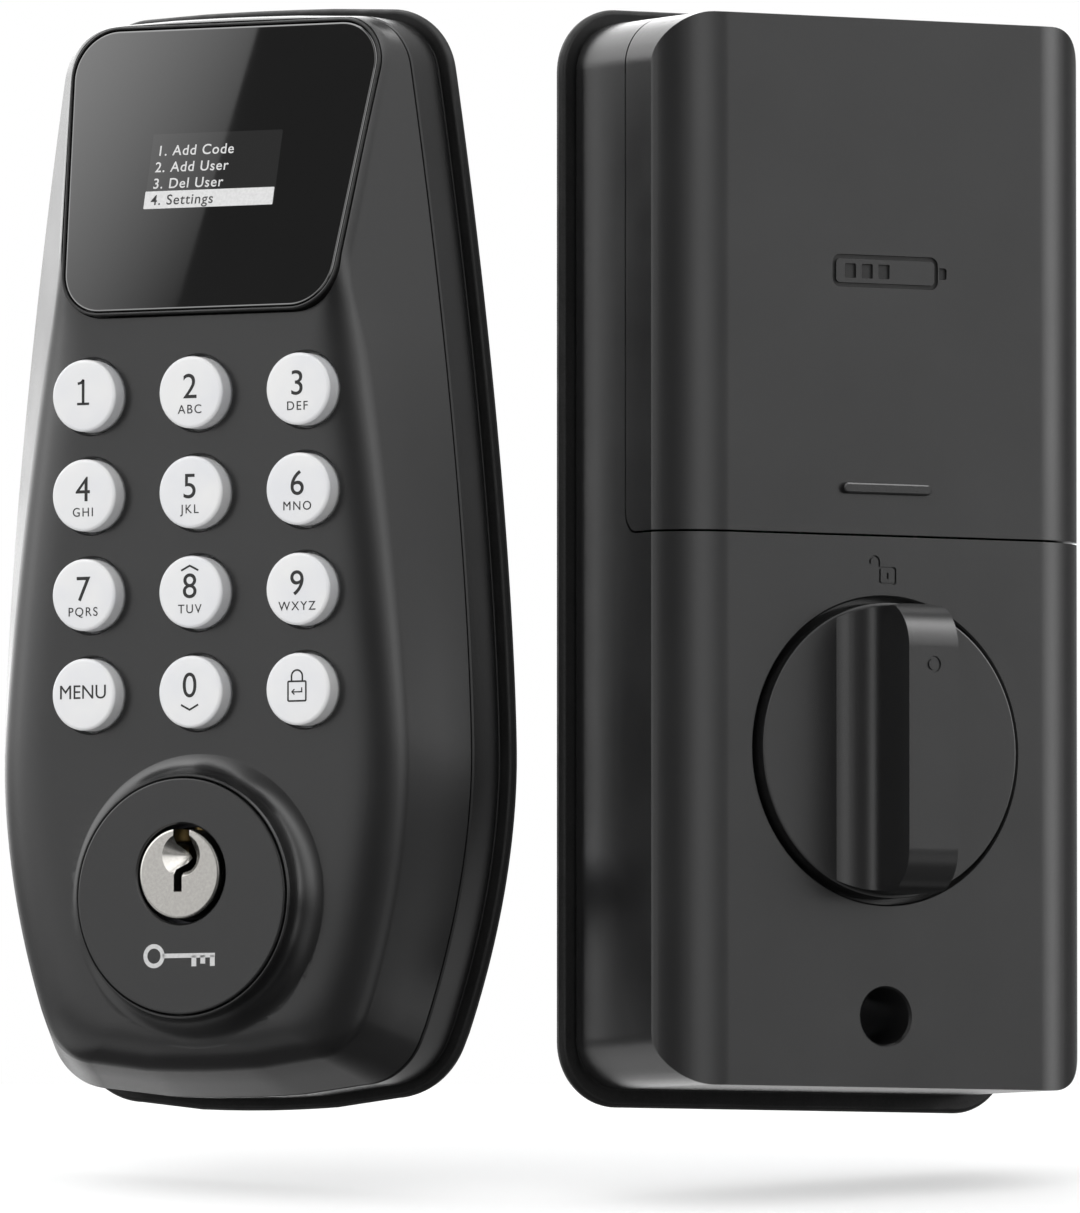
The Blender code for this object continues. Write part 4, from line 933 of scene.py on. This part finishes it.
def make_cylinder():
    """Collar, the plug with its keyway and pins, and the key sign printed below it."""
    top = FACE_Y - BOSS_PROUD - COLLAR_PROUD
    back = top + COLLAR_THICK
    edge = [(COLLAR_R - 0.28, top), (COLLAR_R - 0.08, top + 0.08), (COLLAR_R, top + 0.28), (COLLAR_R, back)]
    bore = [(COLLAR_BORE_R + 0.3, top - 0.05), (COLLAR_BORE_R, top + 0.25), (COLLAR_BORE_R, back + 1)]
    collar = shape(lathe(edge, (0.0, CYLINDER_Z), 160), ("cut", lathe(bore, (0.0, PLUG_Z))))
    piece("collar_disc", collar, SHELL, OUTSIDE, "case", ["cylinder_collar"], sharp=25.0)

    front, stub_r = top - PLUG_PROUD, 3.2
    body = [(PLUG_R - 0.4, front), (PLUG_R - 0.12, front + 0.1), (PLUG_R, front + 0.4)]
    body += [(PLUG_R, -0.2), (stub_r, -0.2), (stub_r, 2.0)]
    dimple = lathe([(3.3, front - 0.3), (0.02, front + 2.7)], (0.3, PLUG_Z + 2.55), 72)
    slot = prism(keyway_outline(), front - 1, -4.0)
    plug = shape(lathe(body, (0.0, PLUG_Z), 128), ("cut", dimple), ("cut", slot))
    plug = bevelled(plug, 0.09, 2, 40.0)
    piece("plug_face", plug, NICKEL, OUTSIDE, "key_plug", ["key_plug"], sharp=30.0)
    pins = []
    for depth in (6.0, 9.5, 13.0):
        pin = lathe([(0.9, 0.0), (1.1, 0.2), (1.1, 2.6)], segments=24)
        pin.transform(Matrix.Rotation(math.pi / 2, 4, "X"))
        pins.append(moved(pin, x=0.3, y=front + depth, z=PLUG_Z + 4.6))
    piece("plug_pins", merged(pins), BRASS, OUTSIDE, "key_plug")

    low, high, mid, bow_r, bow_x = top - 0.02, top + 0.05, KEY_SIGN_Z, 1.35, -4.2
    bow = ribbon(rounded_box(bow_r, mid - bow_r, mid + bow_r, bow_r - 0.01, 12), 0.62, low, high, closed=True)
    strokes = [moved(bow, x=bow_x), ribbon([(bow_x + bow_r, mid), (5.4, mid)], 0.62, low, high)]
    for x, deep in ((5.0, 1.5), (3.5, 1.15), (2.1, 1.5)):
        strokes.append(ribbon([(x, mid), (x, mid - deep)], 0.75, low, high))
    piece("key_mark", merged(strokes), PRINT, OUTSIDE, "case")


# ---------------------------------------------------------------- inside unit


def inside_outline(grow=0.0, steps=16, low=IN_BOTTOM):
    """The inside unit's outline, a tall box with round corners."""
    return rounded_box(IN_HALF + grow, low - grow, IN_TOP + grow, IN_CORNER_R + grow, steps)


def crown_radius():
    drop = IN_EDGE_Y - IN_FACE_Y
    return (IN_CROWN_WIDTH**2 + drop**2) / (2 * drop)


def crowned_bar(inset, back_y):
    """A tall bar whose front is flat in the middle and falls away in an arc to either side."""
    radius = crown_radius() - inset
    start, reach, steps = IN_HALF - IN_CROWN_WIDTH, IN_HALF - inset + 1.0, 26
    front = []
    for i in range(steps + 1):
        over = (reach - start) * (1 - i / steps)
        front.append((start + over, IN_FACE_Y + inset + radius - math.sqrt(radius**2 - over**2)))
    section = [(reach, back_y)] + front + [(-x, y) for x, y in reversed(front)] + [(-reach, back_y)]
    return push_along_z(section, IN_BOTTOM - 5, IN_TOP + 5)


def case_form(inset, back_y):
    """The inside case's solid form, or with an inset the room inside it."""
    within = prism(inside_outline(-inset, low=CASE_LOW), -60.0, 20.0)
    return shape(crowned_bar(inset, back_y), ("keep", within))


def cover_region(shrink):
    """All that lies above and in front of the cover's split line."""
    low, back, far, front = COVER_SPLIT_Z + shrink, COVER_SKIRT_Y - shrink, 170.0, -60.0
    section = [(front, far, 0), (back, far, 0), (back, low, COVER_CORNER_R), (front, low, 0)]
    return push_along_x(rounded(section, steps=12), -60.0, 60.0)


def open_padlock(centre_z, low, high):
    """Padlock sign with its shackle swung open."""
    z = centre_z
    body = ribbon(rounded_box(1.25, z - 1.85, z + 0.35, 0.3, 4), 0.28, low, high, closed=True)
    hook = [(-1.0, z + 0.45)] + arc((-1.75, z + 1.15), 0.75, 0, 205, 14)
    key = ribbon([(0.35, z - 0.35), (0.35, z - 1.2)], 0.3, low, high)
    return [moved(body, x=0.35), ribbon(hook, 0.28, low, high), key]


def battery_mark(centre_z, low, high):
    """Battery sign: a cell outline with its tip, and three bars of charge."""
    z = centre_z
    shell = ribbon(rounded_box(8.2, z - 1.95, z + 1.95, 0.9, 5), 0.62, low, high, closed=True)

    def block(left, right, half, left_r, right_r):
        foot, head = z - half, z + half
        corners = [(left, foot, left_r), (right, foot, right_r), (right, head, right_r), (left, head, left_r)]
        return prism(rounded(corners, steps=3), low, high)

    bars = [block(x - 0.9, x + 0.9, 1.0, 0.2, 0.2) for x in (-5.6, -2.9, -0.2)]
    return [shell, block(8.7, 9.9, 0.8, 0, 0.3), *bars]


def make_cover(block, room):
    """Sliding battery cover with its sunk sign and the ridge that a finger pushes."""
    cover = shape(block.copy(), ("cut", room.copy()), ("keep", cover_region(0.0)))
    cover = bevelled(cover, 0.16, 2, 60.0)
    marks = battery_mark(BATTERY_SIGN_Z, IN_FACE_Y - 1.0, IN_FACE_Y + 0.45)
    cover = shape(cover, *[("cut", mark) for mark in marks])
    # Painted shade: a black matte sheet lines the floor of the sunk sign, darkening the recess.
    shade_fill = merged(battery_mark(BATTERY_SIGN_Z, IN_FACE_Y + 0.3, IN_FACE_Y + 0.6))
    piece("cover_mark_shade", shade_fill, BLACK, INSIDE, "battery_cover")
    stands_for = ["battery_cover"]
    piece("cover_skin", cover, SHELL, INSIDE, "battery_cover", stands_for, sharp=26.0)

    wide, tall, proud = GRIP_SIZE
    front, end, ease = IN_FACE_Y - proud, tall / 2, 0.25
    inset = rounded_box(wide / 2 - ease, GRIP_Z - end + ease, GRIP_Z + end - ease, end - 0.27, 8)
    outline = rounded_box(wide / 2, GRIP_Z - end, GRIP_Z + end, end - 0.02, 8)
    tiers = ((inset, front), (grown(outline, -0.06), front + 0.12))
    tiers += ((outline, front + 0.3), (outline, IN_FACE_Y + 0.4))
    rings = [[(x, y, z) for x, z in tier] for tier, y in tiers]
    piece("cover_grip", loft(rings), SHELL, INSIDE, "battery_cover")


def make_housing(block, room):
    """Lower half of the inside case, with the thumbturn's well and the screw's tube."""
    housing = shape(block, ("cut", room), ("cut", cover_region(-SEAM)))
    housing = bevelled(housing, 0.16, 2, 60.0)
    face, turn, screw = IN_FACE_Y, (0.0, TURN_Z), (0.0, SCREW_HOLE_Z)
    well = [(TURN_WELL_R + 0.3, face - 0.05), (TURN_WELL_R, face + 0.25), (TURN_WELL_R, face + 3.2)]
    hole = [(SCREW_HOLE_R + 0.35, face - 0.05), (SCREW_HOLE_R, face + 0.35), (SCREW_HOLE_R, -7.5)]
    steps = [
        ("join", cylinder(TURN_WELL_R + 1.6, face + 1.0, face + 5.0, turn, 96)),
        ("cut", lathe(well, turn, 160)),
        ("cut", cylinder(5.6, face, face + 8, turn, 48)),
        ("join", cylinder(SCREW_HOLE_R + 1.5, face + 1.0, -5.2, screw, 48)),
        ("cut", lathe(hole, screw, 64)),
        ("cut", cylinder(2.1, -8.0, -4.0, screw, 24)),
    ]
    steps += [("cut", mark) for mark in open_padlock(PADLOCK_SIGN_Z, face - 1.0, face + 0.3)]
    housing = shape(housing, *steps)
    piece("housing_skin", housing, SHELL, INSIDE, "case", ["inside_housing"], sharp=26.0)


def make_inside_case():
    """The inside case, drawn whole and then split into the sliding cover and the housing."""
    block = bevelled(case_form(0.0, CASE_BACK_Y), 0.32, 2, 24.0)
    room = case_form(IN_WALL, 10.0)
    make_cover(block, room)
    make_housing(block, room)


def make_thumbturn():
    """Disc with a bar across it that flares into the disc and rounds down at its ends."""
    front_y, back_y = IN_FACE_Y - TURN_PROUD, IN_FACE_Y + 2.9
    disc = [(TURN_R - 0.3, front_y), (TURN_R - 0.08, front_y + 0.08), (TURN_R, front_y + 0.3)]
    disc += [(TURN_R, back_y), (5.0, back_y), (5.0, IN_FACE_Y + 12.0)]
    half, top, sink, bed = BAR_WIDTH / 2, front_y - BAR_PROUD, 0.06, front_y + 2
    foot = arc((half + BAR_FOOT_R, front_y + sink - BAR_FOOT_R), BAR_FOOT_R, 90, 180, 20)
    section = [(half + BAR_FOOT_R, front_y + 1.0)] + foot + [(half, top)]
    section += [(-x, y) for x, y in reversed(section)]
    bar = push_along_z(section, TURN_Z - TURN_R - 2, TURN_Z + TURN_R + 2)
    reach = TURN_R - 0.4
    side = [(-reach, bed, 0), (-reach, top, BAR_END_R), (reach, top, BAR_END_R), (reach, bed, 0)]
    silhouette = push_along_x([(y, z) for z, y in rounded(side, steps=18)], -30.0, 30.0, lift=TURN_Z)
    barrel = cylinder(reach, -60.0, bed, (0.0, TURN_Z), 160)
    bar = bevelled(shape(bar, ("keep", silhouette), ("keep", barrel)), 0.32, 3, 50.0)
    outer_r, inner_r, floor_y = 1.15, 0.75, top + 0.22
    groove = [(outer_r, top - 1), (outer_r, floor_y), (inner_r, floor_y), (inner_r, top - 1)]
    mark = lathe(groove, (0.0, TURN_Z + 11.4), 40, ring=True)
    turn = shape(lathe(disc, (0.0, TURN_Z), 160), ("join", bar), ("cut", mark))
    piece("turn_knob", turn, SHELL, INSIDE, "thumbturn", ["thumbturn"], sharp=30.0)


# ---------------------------------------------------------------- studio


def floor_height(y):
    """Level behind the brow, sloping down in front of it, with a soft bend between the two."""
    past = y - FLOOR_BROW_Y + FLOOR_BROW_SOFT
    if past <= 0:
        return past * FLOOR_SLOPE
    if past < 2 * FLOOR_BROW_SOFT:
        return FLOOR_SLOPE * past * (1 - past / (4 * FLOOR_BROW_SOFT))
    return FLOOR_SLOPE * FLOOR_BROW_SOFT


def make_floor():
    """Pale floor that lies level behind the lock and falls gently away in front of it."""
    points, faces = [], []
    for i, y in enumerate((-FLOOR_HALF, *FLOOR_ROWS, FLOOR_HALF)):
        z = floor_height(y) - floor_height(0.0) + FLOOR_UNDER
        points += [(-FLOOR_HALF, y, z), (FLOOR_HALF, y, z)]
        if i:
            faces.append((2 * i - 2, 2 * i - 1, 2 * i + 1, 2 * i))
    mesh = mesh_of(points, faces)
    floor = linked("floor", mesh)
    n = Nodes("floor_paper")
    n.set(Base_Color=n.mix(n.between(n.noise(3.0), 0.0, 1.0), grey(0.60), grey(0.62)))
    n.set(Emission_Color=grey(1.0), Emission_Strength=FLOOR_GLOW, Roughness=0.9)
    mesh.materials.append(n.material)
    mesh.shade_smooth()
    floor.visible_glossy = False
    floor.visible_diffuse = False


def levels(n, value, stops, low, high):
    """The level at a value from low to high, as a share of the highest stop, and that stop."""
    most = max(level for _, level in stops)
    node = n.add("ShaderNodeValToRGB", {"Fac": n.between(value, 0.0, 1.0, frm=(low, high))})
    marks = node.color_ramp.elements
    while len(marks) < len(stops):
        marks.new(0.5)
    first, last = stops[0][0], stops[-1][0]
    for mark, (where, level) in zip(marks, stops):
        mark.position = (where - first) / (last - first)
        mark.color = grey(level / most)
    return node.outputs["Color"], most


def make_world():
    """White to the camera, a ring of soft boxes to glossy surfaces, one wide soft light to the rest."""
    world = bpy.data.worlds.new("studio")
    bpy.context.scene.world = world
    world.use_nodes = True
    world.cycles.sampling_method = "NONE"
    world.node_tree.nodes.clear()
    n = Tree(world.node_tree)
    where = n.add("ShaderNodeTexCoord").outputs["Generated"]
    x, y, z = n.add("ShaderNodeSeparateXYZ", {0: where}).outputs
    azimuth = n.combine("ARCTAN2", x, n.combine("MULTIPLY", y, -1.0))
    around, around_most = levels(n, azimuth, SKY_ROUND, -math.pi, math.pi)
    up, up_most = levels(n, z, SKY_UP, -1.0, 1.0)
    boxes = n.combine("MULTIPLY", n.combine("MULTIPLY", around, up), around_most * up_most * SKY_GAIN)
    behind_below = n.combine("MULTIPLY", n.clipped(y, PAPER_AWAY_GAIN), n.clipped(z, PAPER_BELOW_GAIN))
    shine = n.combine("ADD", boxes, n.combine("MULTIPLY", behind_below, PAPER_LEVEL * SKY_GAIN))

    facing = n.add("ShaderNodeVectorMath", {0: where, 1: SOFT_FROM}, operation="DOT_PRODUCT").outputs["Value"]
    side = n.combine("MULTIPLY", facing, SOFT_LEAN * SOFT_LEVEL)
    overhead = n.combine("MULTIPLY", n.combine("POWER", n.combine("MAXIMUM", z, 0.0), 2.0), SOFT_TOP)
    soft = n.combine("ADD", n.combine("ADD", side, SOFT_LEVEL), overhead)

    ray = n.add("ShaderNodeLightPath").outputs
    diffuse = ray["Is Diffuse Ray"]
    glossy_part = n.combine("MULTIPLY", shine, n.combine("SUBTRACT", 1.0, diffuse))
    level = n.combine("ADD", glossy_part, n.combine("MULTIPLY", soft, diffuse))
    lit = n.add("ShaderNodeBackground", {"Strength": level}).outputs[0]
    white = n.add("ShaderNodeBackground", {"Strength": 1.0, "Color": grey(1.0)}).outputs[0]
    both = n.add("ShaderNodeMixShader", {0: ray["Is Camera Ray"], 1: lit, 2: white}).outputs[0]
    n.add("ShaderNodeOutputWorld", {"Surface": both})


def glowing(name):
    """A material that shines by the glow values of the mesh's points."""
    material = bpy.data.materials.new(name)
    material.use_nodes = True
    material.node_tree.nodes.clear()
    n = Tree(material.node_tree)
    own = n.add("ShaderNodeAttribute", attribute_name="glow").outputs["Fac"]
    shine = n.add("ShaderNodeEmission", {"Strength": own}).outputs[0]
    n.add("ShaderNodeOutputMaterial", {"Surface": shine})
    return material


def mirrored_from_glass(x, z):
    """Where the camera's ray to (x, z) on the display glass ends up at the card's distance."""
    facing = (OUTSIDE.to_3x3() @ Vector((0.0, -1.0, LEAN))).normalized()
    on_glass = OUTSIDE @ (Vector((x, display_y(z), z)) * MM)
    view = (CAMERA_AT - on_glass).normalized()
    return on_glass + (2 * facing.dot(view) * facing - view) * CARD_DISTANCE


def glow_card(name, low_row, high_row, glow_at):
    """Emissive card that the glass mirrors between two level rows, each given as (z, left x, right x)."""
    points, glows, faces = [], [], []
    for r in range(CARD_STEPS + 1):
        z, left, right = mixed(low_row, high_row, r / CARD_STEPS)
        for c in range(CARD_STEPS + 1):
            x = left + (right - left) * c / CARD_STEPS
            points.append(mirrored_from_glass(x, z))
            glows.append(glow_at(x, z))
    row = CARD_STEPS + 1
    for r in range(CARD_STEPS):
        for k in range(r * row, r * row + CARD_STEPS):
            faces.append((k, k + 1, k + row + 1, k + row))
    mesh = mesh_of(points, faces)
    glow = mesh.attributes.new("glow", "FLOAT", "POINT")
    glow.data.foreach_set("value", glows)
    mesh.materials.append(glowing(name))
    card = linked(name, mesh)
    card.visible_camera = False
    card.visible_diffuse = False
    card.visible_shadow = False


def sheen(x, z):
    """Bright at the glass's upper left, fading down and to the right."""
    along = SHEEN_PER_X * (x - SHEEN_AT[0]) + SHEEN_PER_Z * (z - SHEEN_AT[1])
    return max(SHEEN_LEAST, SHEEN_GLOW + along)


def make_cards():
    """A card with a sheen for the left of the display glass and a dim one for the rest of it."""
    low, high = CARD_LOW_Z, CARD_HIGH_Z
    low_x, high_x = CARD_SPLIT_LOW_X, CARD_SPLIT_HIGH_X
    glow_card("card_left", (low, CARD_LEFT_X, low_x), (high, CARD_LEFT_X, high_x), sheen)
    right_low, right_high = (low, low_x, CARD_RIGHT_X), (high, high_x, CARD_RIGHT_X)
    glow_card("card_right", right_low, right_high, lambda x, z: CARD_RIGHT_GLOW)


def make_camera():
    """Long lens, a little below the lock's middle and looking slightly up."""
    data = bpy.data.cameras.new("camera")
    data.lens = CAMERA_SENSOR * CAMERA_AWAY / CAMERA_FRAME
    data.sensor_width = CAMERA_SENSOR
    data.sensor_fit = "AUTO"
    data.clip_start, data.clip_end = 0.1, 60.0
    camera = linked("camera", data)
    camera.location = CAMERA_AT
    camera.rotation_mode = "QUATERNION"
    camera.rotation_quaternion = (CAMERA_AIM - CAMERA_AT).to_track_quat("-Z", "Y")
    bpy.context.scene.camera = camera


bpy.context.scene.view_settings.view_transform = "Standard"
dress_cad_nodes()
make_front_shell()
make_rear_case()
make_gaskets()
make_display()
make_screen()
make_keys()
make_cylinder()
make_inside_case()
make_thumbturn()
make_floor()
make_world()
make_cards()
make_camera()
